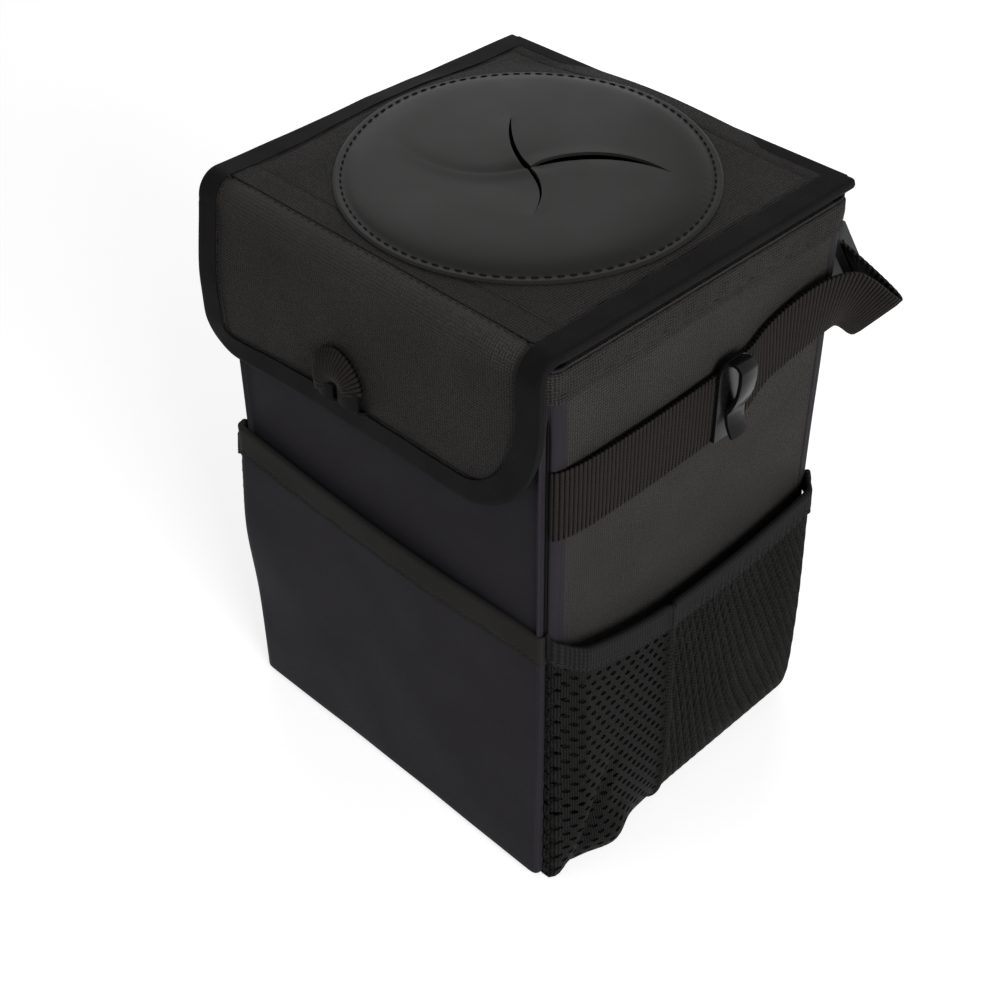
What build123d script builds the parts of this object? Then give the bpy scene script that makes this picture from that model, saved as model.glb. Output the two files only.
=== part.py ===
from build123d import *
import os
from math import cos, radians, sin, sqrt

# Car trash bin: a stiffened cloth box with a slit lid, a front flap, three pockets, side straps
# with bag clips and a buckle behind. Millimetres; +X is the right side, -Y the front, +Z up.
# The origin is the centre of the underside of the base.
os.makedirs("parts", exist_ok=True)

# Box of the bin, to the outside of the wall cloth
bin_width = 168.0
bin_depth = 152.0
rim_height = 245.0
corner_radius = 6.0
wall_cloth = 1.0
wall_board = 2.0
board_corner = 3.0
liner_thickness = 0.8
liner_radius = 4.0
lap_width = 7.0
hem_thickness = 1.0
hem_height = 14.0

# Front pocket, flat, of the same coated cloth as the front wall
front_pocket_height = 131.0
front_pocket_room = 4.8
front_pocket_radius = 9.0
pocket_cloth = 1.0
pocket_hem_thickness = 0.6
pocket_hem_height = 13.0

# Side pockets, of mesh that is plain at the front and gathered towards the back
side_pocket_room = 8.0
side_pocket_ramp = 8.0
mesh_thickness = 1.0
mesh_plain_length = 48.0
gather_pitch = 4.0
gather_height = 1.1
mouth_front_height = 126.0
mouth_middle_height = 114.0
mouth_back_height = 119.0
elastic_height = 11.0
elastic_thickness = 0.6
mesh_hole_width = 3.0
mesh_hole_height = 4.2
mesh_pitch_across = 8.0
mesh_pitch_up = 9.5
mesh_border = 5.0

# Side straps of ribbed webbing
strap_width = 29.0
strap_thickness = 1.6
strap_rib_pitch = 3.2
strap_rib_depth = 0.3
strap_ramp = 10.0
strap_top = 203.0
strap_bend_y = 32.0
strap_bend_radius = 40.0
strap_back_rise = 20.0

# Bag clips that slide along the straps
clip_clearance = 0.3
clip_wall = 1.2
clip_length = 19.0
clip_place_y = 10.0
clip_cap_rise = 9.0
clip_cap_radius = 7.0
tongue_width = 10.0
tongue_thickness = 1.5
tongue_stand = 5.0
tongue_waist_drop = 17.0
tongue_lip_drop = 28.0
tongue_lip_stand = 3.6
tongue_waist_gap = 0.4
tongue_upper_bow = 1.6
tongue_lip_bow = 0.8

# Side-release buckle behind the bin, leaning away from the back wall
buckle_tilt = 33.0
buckle_width = 46.0
buckle_thickness = 10.0
buckle_inset = 6.0
buckle_height = 206.0
buckle_wall_gap = 0.5
buckle_wall = 1.7
buckle_edge_radius = 2.0
buckle_clearance = 0.3
socket_length = 36.0
socket_end = 10.0
plug_length = 22.0
plug_inset = 3.0
prong_width = 5.0
prong_reach = 24.0
window_length = 12.0
window_offset = 12.0
wing_proud = 0.6
webbing_slot_depth = 7.0

# Lid: cloth, board and lining, bound along its sides
lid_gap = 0.4
lid_cloth = 0.8
lid_board_thickness = 1.8
lid_lining_thickness = 0.8
lid_board_margin = 3.0
binding_thickness = 0.6
binding_width = 10.0
lid_hole_radius = 62.0

# Slit disc of soft rubber on the lid
disc_radius = 69.0
disc_border = 5.0
disc_border_height = 2.0
disc_border_bevel = 1.0
disc_thickness = 1.2
disc_rise = 7.5
dome_steps = 3
slit_width = 1.0
long_slit = (43.0, 26.0)
long_slit_bow = 8.0
short_slit = (24.0, -19.0)
short_slit_bow = 2.0

# Front flap
flap_drop = 72.0
flap_gap = 1.2
flap_fold_gap = 0.3
flap_corner = 22.0
flap_board_thickness = 1.6
flap_board_margin = 5.0

# Webbing pull tab on the flap
tab_x = -9.0
tab_width = 30.0
tab_height = 30.0
tab_slot = 5.0
tab_thickness = 1.6
tab_stand = 2.4
tab_foot = 7.0
tab_start = 3.0

# Hook and loop patches that hold the flap down
patch_width = 60.0
patch_height = 18.0
patch_start = 14.0
hook_thickness = 1.2
patch_gap = 0.3

# Places worked out from the sizes above
half_width = bin_width / 2
half_depth = bin_depth / 2
wall_top = rim_height - hem_thickness
floor_top = wall_cloth + wall_board
side_flat = bin_depth - 2 * corner_radius
front_flat = bin_width - 2 * corner_radius
side_cloth_length = side_flat - 2 * lap_width
liner_width = bin_width - 2 * (wall_cloth + wall_board)
liner_depth = bin_depth - 2 * (wall_cloth + wall_board)


def save(piece, name):
    """Names a finished piece and writes it."""
    piece.label = name
    export_step(piece, f"parts/{name}.step")


def save_both(piece, name):
    """Writes a right-hand piece and its left-hand mirror image."""
    save(piece, f"right_{name}")
    with BuildPart() as twin:
        add(mirror(piece, about=Plane.YZ))
    save(twin.part, f"left_{name}")


# Wall cloth: each panel is a stretch of one rounded ring
lap_zone = corner_radius + lap_width
panel_zones = {
    "front_panel": ((0, lap_zone / 2 - half_depth), (bin_width, lap_zone)),
    "back_panel": ((0, half_depth - lap_zone / 2), (bin_width, lap_zone)),
    "right_panel": ((half_width, 0), (2 * corner_radius, side_cloth_length)),
    "left_panel": ((-half_width, 0), (2 * corner_radius, side_cloth_length)),
}
for panel_name, (zone_center, zone_size) in panel_zones.items():
    with BuildPart() as panel:
        with BuildSketch(Plane.XY.offset(wall_cloth)):
            RectangleRounded(bin_width, bin_depth, corner_radius)
            RectangleRounded(
                bin_width - 2 * wall_cloth,
                bin_depth - 2 * wall_cloth,
                corner_radius - wall_cloth,
                mode=Mode.SUBTRACT,
            )
            with Locations(zone_center):
                Rectangle(*zone_size, mode=Mode.INTERSECT)
        extrude(amount=wall_top - wall_cloth)
    save(panel.part, panel_name)

with BuildPart() as base_panel:
    with BuildSketch():
        RectangleRounded(bin_width, bin_depth, corner_radius)
    extrude(amount=wall_cloth)
save(base_panel.part, "base_panel")

# Stiffener boards between the wall cloth and the liner
board_planes = {
    "front_board": (Plane.XZ.offset(half_depth - floor_top), front_flat),
    "back_board": (Plane.XZ.offset(wall_cloth - half_depth), front_flat),
    "right_board": (Plane.YZ.offset(half_width - floor_top), side_flat),
    "left_board": (Plane.YZ.offset(wall_cloth - half_width), side_flat),
}
for board_name, (board_plane, board_length) in board_planes.items():
    with BuildPart() as board:
        with BuildSketch(board_plane):
            with Locations((0, (wall_cloth + wall_top) / 2)):
                RectangleRounded(board_length, wall_top - wall_cloth, board_corner)
        extrude(amount=wall_board)
    save(board.part, board_name)

with BuildPart() as base_board:
    with BuildSketch(Plane.XY.offset(wall_cloth)):
        RectangleRounded(liner_width, liner_depth, liner_radius)
    extrude(amount=wall_board)
save(base_board.part, "base_board")

# Waterproof liner, an open tub
with BuildPart() as liner:
    with BuildSketch(Plane.XY.offset(floor_top)):
        RectangleRounded(liner_width, liner_depth, liner_radius)
    extrude(amount=wall_top - floor_top)
    offset(amount=-liner_thickness, openings=liner.faces().sort_by(Axis.Z)[-1])
save(liner.part, "liner")

# Hem folded over the rim, with a leg outside the cloth and a leg inside the liner
hem_out = 2 * hem_thickness
hem_in = 2 * (liner_thickness + hem_thickness)
with BuildPart() as rim_hem:
    with BuildSketch(Plane.XY.offset(rim_height - hem_height)):
        RectangleRounded(bin_width + hem_out, bin_depth + hem_out, corner_radius + hem_thickness)
        RectangleRounded(
            liner_width - hem_in,
            liner_depth - hem_in,
            liner_radius - hem_in / 2,
            mode=Mode.SUBTRACT,
        )
    extrude(amount=hem_height)
    with BuildSketch(Plane.XY.offset(rim_height - hem_height)):
        RectangleRounded(bin_width, bin_depth, corner_radius)
        RectangleRounded(
            liner_width - 2 * liner_thickness,
            liner_depth - 2 * liner_thickness,
            liner_radius - liner_thickness,
            mode=Mode.SUBTRACT,
        )
    extrude(amount=hem_height - hem_thickness, mode=Mode.SUBTRACT)
save(rim_hem.part, "rim_hem")

# Front pocket: a shallow tray of cloth with its mouth up, wrapped round to the corner seams
front_pocket_depth = front_pocket_room + pocket_cloth
front_pocket_width = bin_width + 2 * pocket_cloth
with BuildPart() as front_pocket:
    with BuildSketch(Plane.XY.offset(wall_cloth)) as pocket_outline:
        with Locations((0, corner_radius - half_depth)):
            Rectangle(
                front_pocket_width,
                corner_radius + front_pocket_depth,
                align=(Align.CENTER, Align.MAX),
            )
        fillet(pocket_outline.vertices().group_by(Axis.Y)[0], front_pocket_radius)
    extrude(amount=front_pocket_height)
    with BuildSketch(Plane.XY.offset(wall_cloth + pocket_cloth)) as pocket_space:
        with Locations((0, corner_radius - half_depth)):
            Rectangle(
                bin_width, corner_radius + front_pocket_room, align=(Align.CENTER, Align.MAX)
            )
        fillet(pocket_space.vertices().group_by(Axis.Y)[0], front_pocket_radius - pocket_cloth)
    extrude(amount=front_pocket_height, mode=Mode.SUBTRACT)
    with BuildSketch(Plane.XY.offset(wall_cloth)):
        RectangleRounded(bin_width, bin_depth, corner_radius)
    extrude(amount=front_pocket_height, mode=Mode.SUBTRACT)
save(front_pocket.part, "front_pocket")

pocket_mouth = wall_cloth + front_pocket_height
with BuildPart() as front_pocket_hem:
    with BuildSketch(Plane.XZ.offset(half_depth + front_pocket_depth)):
        with Locations((0, pocket_mouth)):
            Rectangle(
                front_pocket_width - 2 * front_pocket_radius,
                pocket_hem_height,
                align=(Align.CENTER, Align.MAX),
            )
    extrude(amount=pocket_hem_thickness)
save(front_pocket_hem.part, "front_pocket_hem")

# Side pocket: a mesh sheet that stands off the wall, seen from above
pocket_end = side_flat / 2
sheet_out = half_width + side_pocket_room + mesh_thickness
ramp_end = pocket_end - side_pocket_ramp
plain_end = mesh_plain_length - pocket_end
gather_count = round((ramp_end - plain_end) / gather_pitch)
gather_step = (ramp_end - plain_end) / gather_count
ramp_skin = side_pocket_ramp * mesh_thickness / (side_pocket_room + mesh_thickness)
gather_ridges = [(sheet_out, plain_end)]
for ridge in range(gather_count):
    crest_y = plain_end + (ridge + 0.5) * gather_step
    gather_ridges.append((sheet_out + gather_height, crest_y))
    gather_ridges.append((sheet_out, crest_y + gather_step / 2))


def mouth_zone(drop_top, drop_bottom):
    """Side view of the pocket between two curves below its sagging mouth."""
    heights = (mouth_front_height, mouth_middle_height, mouth_back_height)
    places = (-pocket_end, 0, pocket_end)
    upper = [(y, z - drop_top) for y, z in zip(places, heights)]
    lower = [(y, z - drop_bottom) for y, z in zip(places, heights)]
    ThreePointArc(*upper)
    Line(upper[2], lower[2])
    ThreePointArc(*reversed(lower))
    Line(lower[0], upper[0])


with BuildPart() as right_pocket:
    with BuildSketch(Plane.XY.offset(wall_cloth)):
        with BuildLine():
            Polyline(
                (half_width, -pocket_end),
                (sheet_out, -ramp_end),
                *gather_ridges,
                (half_width, pocket_end),
                (half_width, pocket_end - ramp_skin),
                (sheet_out - mesh_thickness, ramp_end),
                (sheet_out - mesh_thickness, -ramp_end),
                (half_width, ramp_skin - pocket_end),
                close=True,
            )
        make_face()
    extrude(amount=mouth_front_height - wall_cloth)
    with BuildSketch(Plane.YZ.offset(half_width)):
        with BuildLine():
            mouth_zone(elastic_height, mouth_front_height + elastic_height)
        make_face()
    extrude(amount=side_pocket_room + mesh_thickness + gather_height, mode=Mode.INTERSECT)
    with BuildSketch(Plane.XY.offset(wall_cloth)):
        with BuildLine():
            Polyline(
                (half_width, -pocket_end),
                (sheet_out, -ramp_end),
                (sheet_out, ramp_end),
                (half_width, pocket_end),
                close=True,
            )
        make_face()
    extrude(amount=mesh_thickness)
    plain_start = -ramp_end + mesh_border
    hole_field = plain_end - mesh_border - plain_start
    hole_floor = wall_cloth + mesh_thickness + mesh_border
    hole_top = mouth_middle_height - elastic_height - mesh_border
    holes_across = int(hole_field // mesh_pitch_across) + 1
    holes_up = int((hole_top - hole_floor) // mesh_pitch_up) + 1
    field_center = (plain_start + hole_field / 2, (hole_floor + hole_top) / 2)
    with BuildSketch(Plane.YZ.offset(half_width + side_pocket_room - mesh_thickness)):
        for across, up in ((holes_across, holes_up), (holes_across - 1, holes_up - 1)):
            with Locations(field_center):
                with GridLocations(mesh_pitch_across, mesh_pitch_up, across, up):
                    Polygon(
                        (-mesh_hole_width / 2, 0),
                        (0, -mesh_hole_height / 2),
                        (mesh_hole_width / 2, 0),
                        (0, mesh_hole_height / 2),
                    )
    extrude(amount=3 * mesh_thickness, mode=Mode.SUBTRACT)
save_both(right_pocket.part, "pocket")

# Elastic hem along the mouth of the side pocket
elastic_out = sheet_out + elastic_thickness
with BuildPart() as right_pocket_hem:
    with BuildSketch(Plane.XY.offset(mouth_middle_height - 2 * elastic_height)):
        with BuildLine():
            Polyline(
                (half_width, -pocket_end),
                (elastic_out, -ramp_end),
                (elastic_out, ramp_end),
                (half_width, pocket_end),
                (half_width, pocket_end - ramp_skin),
                (sheet_out - mesh_thickness, ramp_end),
                (sheet_out - mesh_thickness, -ramp_end),
                (half_width, ramp_skin - pocket_end),
                close=True,
            )
        make_face()
    extrude(amount=mouth_front_height - mouth_middle_height + 2 * elastic_height)
    with BuildSketch(Plane.YZ.offset(half_width)):
        with BuildLine():
            mouth_zone(0, elastic_height)
        make_face()
    extrude(amount=elastic_out - half_width, mode=Mode.INTERSECT)
save_both(right_pocket_hem.part, "pocket_hem")

# Strap along a side: sewn in at the front seam, level, then rising to the back corner
strap_gap = clip_wall + 2 * clip_clearance
strap_in = half_width + strap_gap
strap_out = strap_in + strap_thickness
strap_front = -side_cloth_length / 2
strap_level = strap_front + strap_ramp
strap_bottom = strap_top - strap_width
strap_run = half_depth - strap_bend_y
strap_slope = strap_back_rise / strap_run
slope_length = sqrt(1 + strap_slope**2)
strap_back_width = strap_width * slope_length
bottom_bend_y = strap_bend_y + strap_width * (slope_length - 1) / strap_slope
strap_back_top = strap_top + strap_back_rise
strap_middle = strap_in + strap_thickness / 2
rib_count = int((half_depth - strap_level) // strap_rib_pitch) - 1
rib_points = []
for rib in range(rib_count):
    rib_start = strap_level + rib * strap_rib_pitch
    rib_points.append((strap_out, rib_start))
    rib_points.append((strap_out - strap_rib_depth, rib_start + strap_rib_pitch / 2))
rib_points.append((strap_out, strap_level + rib_count * strap_rib_pitch))

with BuildPart() as strap_side:
    with BuildSketch(Plane.XY.offset(strap_bottom)):
        with BuildLine():
            Polyline(
                (half_width, strap_front),
                (half_width + strap_thickness, strap_front),
                *rib_points,
                (strap_out, half_depth),
                (strap_in, half_depth),
                (strap_in, strap_level),
                close=True,
            )
        make_face()
    extrude(amount=strap_width + strap_back_rise)
    with BuildSketch(Plane.YZ.offset(half_width)):
        with BuildLine():
            FilletPolyline(
                (strap_front, strap_top),
                (strap_bend_y, strap_top),
                (half_depth, strap_back_top),
                radius=strap_bend_radius,
            )
            Line((half_depth, strap_back_top), (half_depth, strap_back_top - strap_back_width))
            FilletPolyline(
                (half_depth, strap_back_top - strap_back_width),
                (bottom_bend_y, strap_bottom),
                (strap_front, strap_bottom),
                radius=strap_bend_radius,
            )
            Line((strap_front, strap_bottom), (strap_front, strap_top))
        make_face()
    extrude(amount=strap_gap + strap_thickness, mode=Mode.INTERSECT)

# Line of the webbing behind the bin, leaning with the buckle
tilt_sin = sin(radians(buckle_tilt))
tilt_cos = cos(radians(buckle_tilt))
buckle_y = (
    half_depth + buckle_wall_gap + buckle_width / 2 * tilt_sin + buckle_thickness / 2 * tilt_cos
)
buckle_right_x = half_width - buckle_inset
buckle_left_x = buckle_right_x - socket_length - plug_length
strap_back_z = strap_back_top - strap_back_width / 2
corner_y = (half_depth + buckle_y) / 2
corner_z = (strap_back_z + buckle_height) / 2
webbing_tip = webbing_slot_depth - buckle_clearance


def webbing_section(center, turn, tilt, width):
    """Cross-section of webbing that heads `turn` degrees round from +Y and leans by `tilt`."""
    heading = Vector(-sin(radians(turn)), cos(radians(turn)), 0)
    inward = Vector(-heading.Y, heading.X, 0)
    across = inward * cos(radians(tilt)) - Vector(0, 0, 1) * sin(radians(tilt))
    with BuildSketch(Plane(origin=center, x_dir=across, z_dir=heading)) as section:
        Rectangle(strap_thickness, width)
    return section.sketch


right_webbing = [
    webbing_section((strap_middle, half_depth, strap_back_z), 0, 0, strap_back_width),
    webbing_section((half_width + hem_thickness, corner_y, corner_z), 45, buckle_tilt / 2, strap_width),
    webbing_section((buckle_right_x, buckle_y, buckle_height), 90, buckle_tilt, strap_width),
    webbing_section(
        (buckle_right_x - webbing_tip, buckle_y, buckle_height), 90, buckle_tilt, strap_width
    ),
]
with BuildPart() as right_strap:
    loft(right_webbing, ruled=True)
    add(strap_side.part)
save(right_strap.part, "right_strap")

left_webbing = [
    webbing_section(
        (buckle_left_x + webbing_tip, buckle_y, buckle_height), 90, buckle_tilt, strap_width
    ),
    webbing_section((buckle_left_x, buckle_y, buckle_height), 90, buckle_tilt, strap_width),
    webbing_section(
        ((buckle_left_x - half_width) / 2, buckle_y, corner_z), 90, buckle_tilt / 2, strap_width
    ),
    webbing_section((-half_width, corner_y, strap_back_z), 135, buckle_tilt / 4, strap_width),
    webbing_section((-strap_middle, half_depth, strap_back_z), 180, 0, strap_back_width),
]
with BuildPart() as left_strap:
    loft(left_webbing, ruled=True)
    add(mirror(strap_side.part, about=Plane.YZ))
save(left_strap.part, "left_strap")

# Buckle socket: a flat box with a mouth for the plug and a window in each side
buckle_plane = Plane(
    origin=(buckle_right_x, buckle_y, buckle_height),
    x_dir=(-1, 0, 0),
    z_dir=(0, tilt_cos, tilt_sin),
)
chamber_width = buckle_width - 4 * buckle_wall
chamber_height = buckle_thickness - 2 * buckle_wall
slot_width = strap_width + 2 * buckle_clearance
slot_height = strap_thickness + 2 * buckle_clearance
with BuildPart() as buckle_socket:
    with BuildSketch(buckle_plane):
        with Locations((socket_length / 2, 0)):
            Rectangle(socket_length, buckle_width)
    extrude(amount=buckle_thickness / 2, both=True)
    fillet(buckle_socket.edges().filter_by(Axis.X), buckle_edge_radius)
    with BuildSketch(buckle_plane):
        with Locations((socket_end, 0)):
            Rectangle(socket_length, chamber_width, align=(Align.MIN, Align.CENTER))
        with Locations((window_offset + window_length / 2, 0)):
            Rectangle(window_length, 2 * buckle_width)
    extrude(amount=chamber_height / 2, both=True, mode=Mode.SUBTRACT)
    with BuildSketch(buckle_plane):
        Rectangle(2 * webbing_slot_depth, slot_width)
    extrude(amount=slot_height / 2, both=True, mode=Mode.SUBTRACT)
save(buckle_socket.part, "buckle_socket")

# Buckle plug: body, centre guide and two prongs whose wings fill the socket's windows
plug_start = socket_length + buckle_clearance
prong_out = chamber_width / 2 - buckle_clearance
prong_tip = socket_length - prong_reach
wing_start = window_offset + buckle_clearance
wing_end = window_offset + window_length - buckle_clearance
with BuildPart() as buckle_plug:
    with BuildSketch(buckle_plane):
        with Locations((plug_start, 0)):
            Rectangle(
                plug_length - buckle_clearance,
                buckle_width - 2 * plug_inset,
                align=(Align.MIN, Align.CENTER),
            )
    extrude(amount=buckle_thickness / 2 - buckle_wall / 2, both=True)
    fillet(buckle_plug.edges().filter_by(Axis.X), buckle_edge_radius)
    with BuildSketch(buckle_plane):
        with BuildLine():
            Polyline(
                (plug_start, prong_out - prong_width),
                (prong_tip, prong_out - 2 * prong_width),
                (wing_start, prong_out),
                (wing_start, buckle_width / 2 + wing_proud),
                (wing_end, buckle_width / 2 - buckle_wall),
                (wing_end, prong_out - buckle_clearance),
                (plug_start, prong_out - buckle_clearance),
                close=True,
            )
        make_face()
        mirror(about=Plane.XZ)
        with Locations((plug_start, 0)):
            Rectangle(prong_reach, prong_width, align=(Align.MAX, Align.CENTER))
    extrude(amount=chamber_height / 2 - buckle_clearance, both=True)
    with BuildSketch(buckle_plane):
        with Locations((socket_length + plug_length, 0)):
            Rectangle(2 * webbing_slot_depth, slot_width)
    extrude(amount=slot_height / 2, both=True, mode=Mode.SUBTRACT)
save(buckle_plug.part, "buckle_plug")

# Bag clip: a sleeve round the webbing, a rounded cap and an S-shaped spring tongue
sleeve_in = half_width + clip_clearance
sleeve_out = strap_out + clip_clearance + clip_wall
sleeve_bottom = strap_bottom - clip_clearance - clip_wall
sleeve_top = strap_top + clip_clearance + clip_wall
cap_top = strap_top + clip_cap_rise
tongue_out = sleeve_out + tongue_stand
arch_z = cap_top - tongue_thickness - tongue_stand / 2
waist_z = strap_top - tongue_waist_drop
lip_z = strap_top - tongue_lip_drop
with BuildPart() as right_clip:
    with BuildSketch(Plane.XZ.offset(clip_length / 2 - clip_place_y)):
        with Locations((sleeve_in, sleeve_bottom)):
            Rectangle(
                sleeve_out - sleeve_in, sleeve_top - sleeve_bottom, align=(Align.MIN, Align.MIN)
            )
        with Locations((strap_in - clip_clearance, strap_bottom - clip_clearance)):
            Rectangle(
                strap_thickness + 2 * clip_clearance,
                strap_width + 2 * clip_clearance,
                align=(Align.MIN, Align.MIN),
                mode=Mode.SUBTRACT,
            )
    extrude(amount=-clip_length)
    with BuildSketch(Plane.YZ.offset(sleeve_out - clip_wall)):
        with Locations((clip_place_y, cap_top)):
            Rectangle(clip_length, cap_top - strap_top, align=(Align.CENTER, Align.MAX))
    extrude(amount=clip_wall)
    cap_corners = right_clip.edges().filter_by(Axis.X).group_by(Axis.Z)[-1]
    fillet(cap_corners, clip_cap_radius)
    with BuildSketch(Plane.XZ.offset(tongue_width / 2 - clip_place_y)):
        with BuildLine():
            ThreePointArc(
                (sleeve_out - clip_wall, arch_z),
                ((sleeve_out + tongue_out) / 2, cap_top),
                (tongue_out + tongue_thickness, arch_z),
            )
            SagittaArc(
                (tongue_out + tongue_thickness, arch_z),
                (sleeve_out + tongue_waist_gap + tongue_thickness, waist_z),
                tongue_upper_bow,
            )
            SagittaArc(
                (sleeve_out + tongue_waist_gap + tongue_thickness, waist_z),
                (sleeve_out + tongue_lip_stand + tongue_thickness, lip_z),
                -tongue_lip_bow,
            )
            Line(
                (sleeve_out + tongue_lip_stand + tongue_thickness, lip_z),
                (sleeve_out + tongue_lip_stand, lip_z),
            )
            SagittaArc(
                (sleeve_out + tongue_lip_stand, lip_z),
                (sleeve_out + tongue_waist_gap, waist_z),
                tongue_lip_bow,
            )
            SagittaArc(
                (sleeve_out + tongue_waist_gap, waist_z),
                (tongue_out, arch_z),
                -tongue_upper_bow,
            )
            ThreePointArc(
                (tongue_out, arch_z),
                ((sleeve_out + tongue_out) / 2, arch_z + tongue_stand / 2),
                (sleeve_out, arch_z),
            )
            Line((sleeve_out, arch_z), (sleeve_out - clip_wall, arch_z))
        make_face()
    extrude(amount=-tongue_width)
save_both(right_clip.part, "clip")

# Lid layers, from the lining up
lid_bottom = rim_height + lid_gap + binding_thickness
lid_board_bottom = lid_bottom + lid_lining_thickness
lid_cloth_bottom = lid_board_bottom + lid_board_thickness
lid_face = lid_cloth_bottom + lid_cloth
lid_top = lid_face + binding_thickness
lid_width = bin_width + 2 * hem_thickness
lid_sheet_width = lid_width - 2 * binding_thickness
lid_back = half_depth + hem_thickness
flap_inside = -(half_depth + hem_thickness + flap_gap)
lid_front = flap_inside + flap_fold_gap
lid_length = lid_back - lid_front
lid_middle = (lid_back + lid_front) / 2
lid_layers = {
    "lid_lining": (lid_bottom, lid_lining_thickness, 0),
    "lid_board": (lid_board_bottom, lid_board_thickness, lid_board_margin),
    "lid_cover": (lid_cloth_bottom, lid_cloth, 0),
}
for layer_name, (layer_z, layer_thickness, layer_margin) in lid_layers.items():
    with BuildPart() as layer:
        with BuildSketch(Plane.XY.offset(layer_z)):
            with Locations((0, lid_middle)):
                Rectangle(lid_sheet_width - 2 * layer_margin, lid_length - 2 * layer_margin)
                Circle(lid_hole_radius, mode=Mode.SUBTRACT)
        extrude(amount=layer_thickness)
    save(layer.part, layer_name)

# Binding tape folded round each side edge of the lid
with BuildPart() as right_lid_binding:
    with BuildSketch(Plane.XZ.offset(-lid_back)):
        with Locations((lid_width / 2, lid_top)):
            Rectangle(
                binding_width, lid_top - lid_bottom + binding_thickness, align=(Align.MAX, Align.MAX)
            )
        with Locations((lid_sheet_width / 2, lid_face)):
            Rectangle(binding_width, lid_face - lid_bottom, align=(Align.MAX, Align.MAX), mode=Mode.SUBTRACT)
    extrude(amount=lid_length)
save_both(right_lid_binding.part, "lid_binding")

# Slit disc: a raised border round a shallow dome, cut by two crossing S-shaped slits
dome_radius = disc_radius - disc_border
dome_edge = lid_face + disc_thickness
dome_top = lid_face + disc_rise


def dome_points(edge_z, top_z):
    """Points from the edge of the dome to its top, a few straight steps close to an arc."""
    steps = [step / dome_steps for step in range(dome_steps + 1)]
    return [(dome_radius * (1 - t), edge_z + (top_z - edge_z) * (2 * t - t**2)) for t in steps]


with BuildPart() as slit_disc:
    with BuildSketch(Plane.XZ):
        with BuildLine():
            Polyline(
                (dome_radius, lid_face),
                (disc_radius, lid_face),
                (disc_radius, dome_edge),
                (disc_radius - disc_border_bevel, lid_face + disc_border_height),
                (dome_radius + disc_border_bevel, lid_face + disc_border_height),
                (dome_radius, dome_edge),
            )
            Polyline(*dome_points(dome_edge, dome_top))
            Line((0, dome_top), (0, dome_top - disc_thickness))
            Polyline(*reversed(dome_points(lid_face, dome_top - disc_thickness)))
        make_face()
    revolve(axis=Axis.Z)
    with BuildSketch(Plane.XY.offset(lid_face)):
        for (tip_x, tip_y), bow in ((long_slit, long_slit_bow), (short_slit, short_slit_bow)):
            for way in (1, -1):
                arm = SagittaArc((0, 0), (way * tip_x, way * tip_y), bow, mode=Mode.PRIVATE)
                SlotArc(arm, slit_width)
    extrude(amount=2 * disc_rise, mode=Mode.SUBTRACT)
with BuildPart() as placed_disc:
    with Locations((0, lid_middle, 0)):
        add(slit_disc.part)
save(placed_disc.part, "slit_disc")

# Flap layers, from the lining out, hanging from the front fold of the lid
flap_top = lid_top - flap_fold_gap
flap_bottom = lid_top - flap_drop
flap_lining_y = -flap_inside + binding_thickness
flap_board_y = flap_lining_y + lid_lining_thickness
flap_cloth_y = flap_board_y + flap_board_thickness
flap_face_y = flap_cloth_y + lid_cloth
flap_front_y = flap_face_y + binding_thickness


def flap_outline(inset, top):
    """Front view of the flap with its lower corners rounded, drawn in by an inset."""
    side = lid_width / 2 - inset
    bottom = flap_bottom + inset
    corners = ((-side, top), (-side, bottom), (side, bottom), (side, top))
    FilletPolyline(*corners, radius=flap_corner - inset)
    Line((side, top), (-side, top))


flap_layers = {
    "flap_lining": (flap_lining_y, lid_lining_thickness, binding_thickness),
    "flap_board": (flap_board_y, flap_board_thickness, flap_board_margin),
    "flap_cover": (flap_cloth_y, lid_cloth, binding_thickness),
}
for layer_name, (layer_y, layer_thickness, layer_inset) in flap_layers.items():
    with BuildPart() as layer:
        with BuildSketch(Plane.XZ.offset(layer_y)):
            with BuildLine():
                flap_outline(layer_inset, flap_top)
            make_face()
        extrude(amount=layer_thickness)
    save(layer.part, layer_name)

with BuildPart() as flap_binding:
    with BuildSketch(Plane.XZ.offset(-flap_inside)):
        with BuildLine():
            flap_outline(0, flap_top)
        make_face()
        with BuildLine():
            flap_outline(binding_width, flap_top + binding_width)
        make_face(mode=Mode.SUBTRACT)
    extrude(amount=flap_front_y + flap_inside)
    with BuildSketch(Plane.XZ.offset(flap_lining_y)):
        with BuildLine():
            flap_outline(binding_thickness, flap_top + binding_width)
        make_face()
    extrude(amount=flap_face_y - flap_lining_y, mode=Mode.SUBTRACT)
save(flap_binding.part, "flap_binding")

# Pull tab: an arch of webbing whose two feet are sewn to the flap's binding
tab_bottom = flap_bottom + tab_start
tab_arch_z = tab_bottom + tab_height - tab_width / 2
with BuildPart() as pull_tab:
    with BuildSketch(Plane.XZ.offset(flap_front_y)):
        with Locations((tab_x, tab_arch_z)):
            Circle(tab_width / 2)
            Rectangle(tab_width, tab_arch_z - tab_bottom, align=(Align.CENTER, Align.MAX))
            Circle(tab_slot / 2, mode=Mode.SUBTRACT)
            Rectangle(
                tab_slot,
                tab_arch_z - tab_bottom,
                align=(Align.CENTER, Align.MAX),
                mode=Mode.SUBTRACT,
            )
    extrude(amount=tab_stand + tab_thickness)
    with BuildSketch(Plane.XZ.offset(flap_front_y)):
        with Locations((tab_x, tab_bottom + tab_foot)):
            Rectangle(2 * tab_width, 2 * tab_height, align=(Align.CENTER, Align.MIN))
    extrude(amount=tab_stand, mode=Mode.SUBTRACT)
save(pull_tab.part, "pull_tab")

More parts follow.
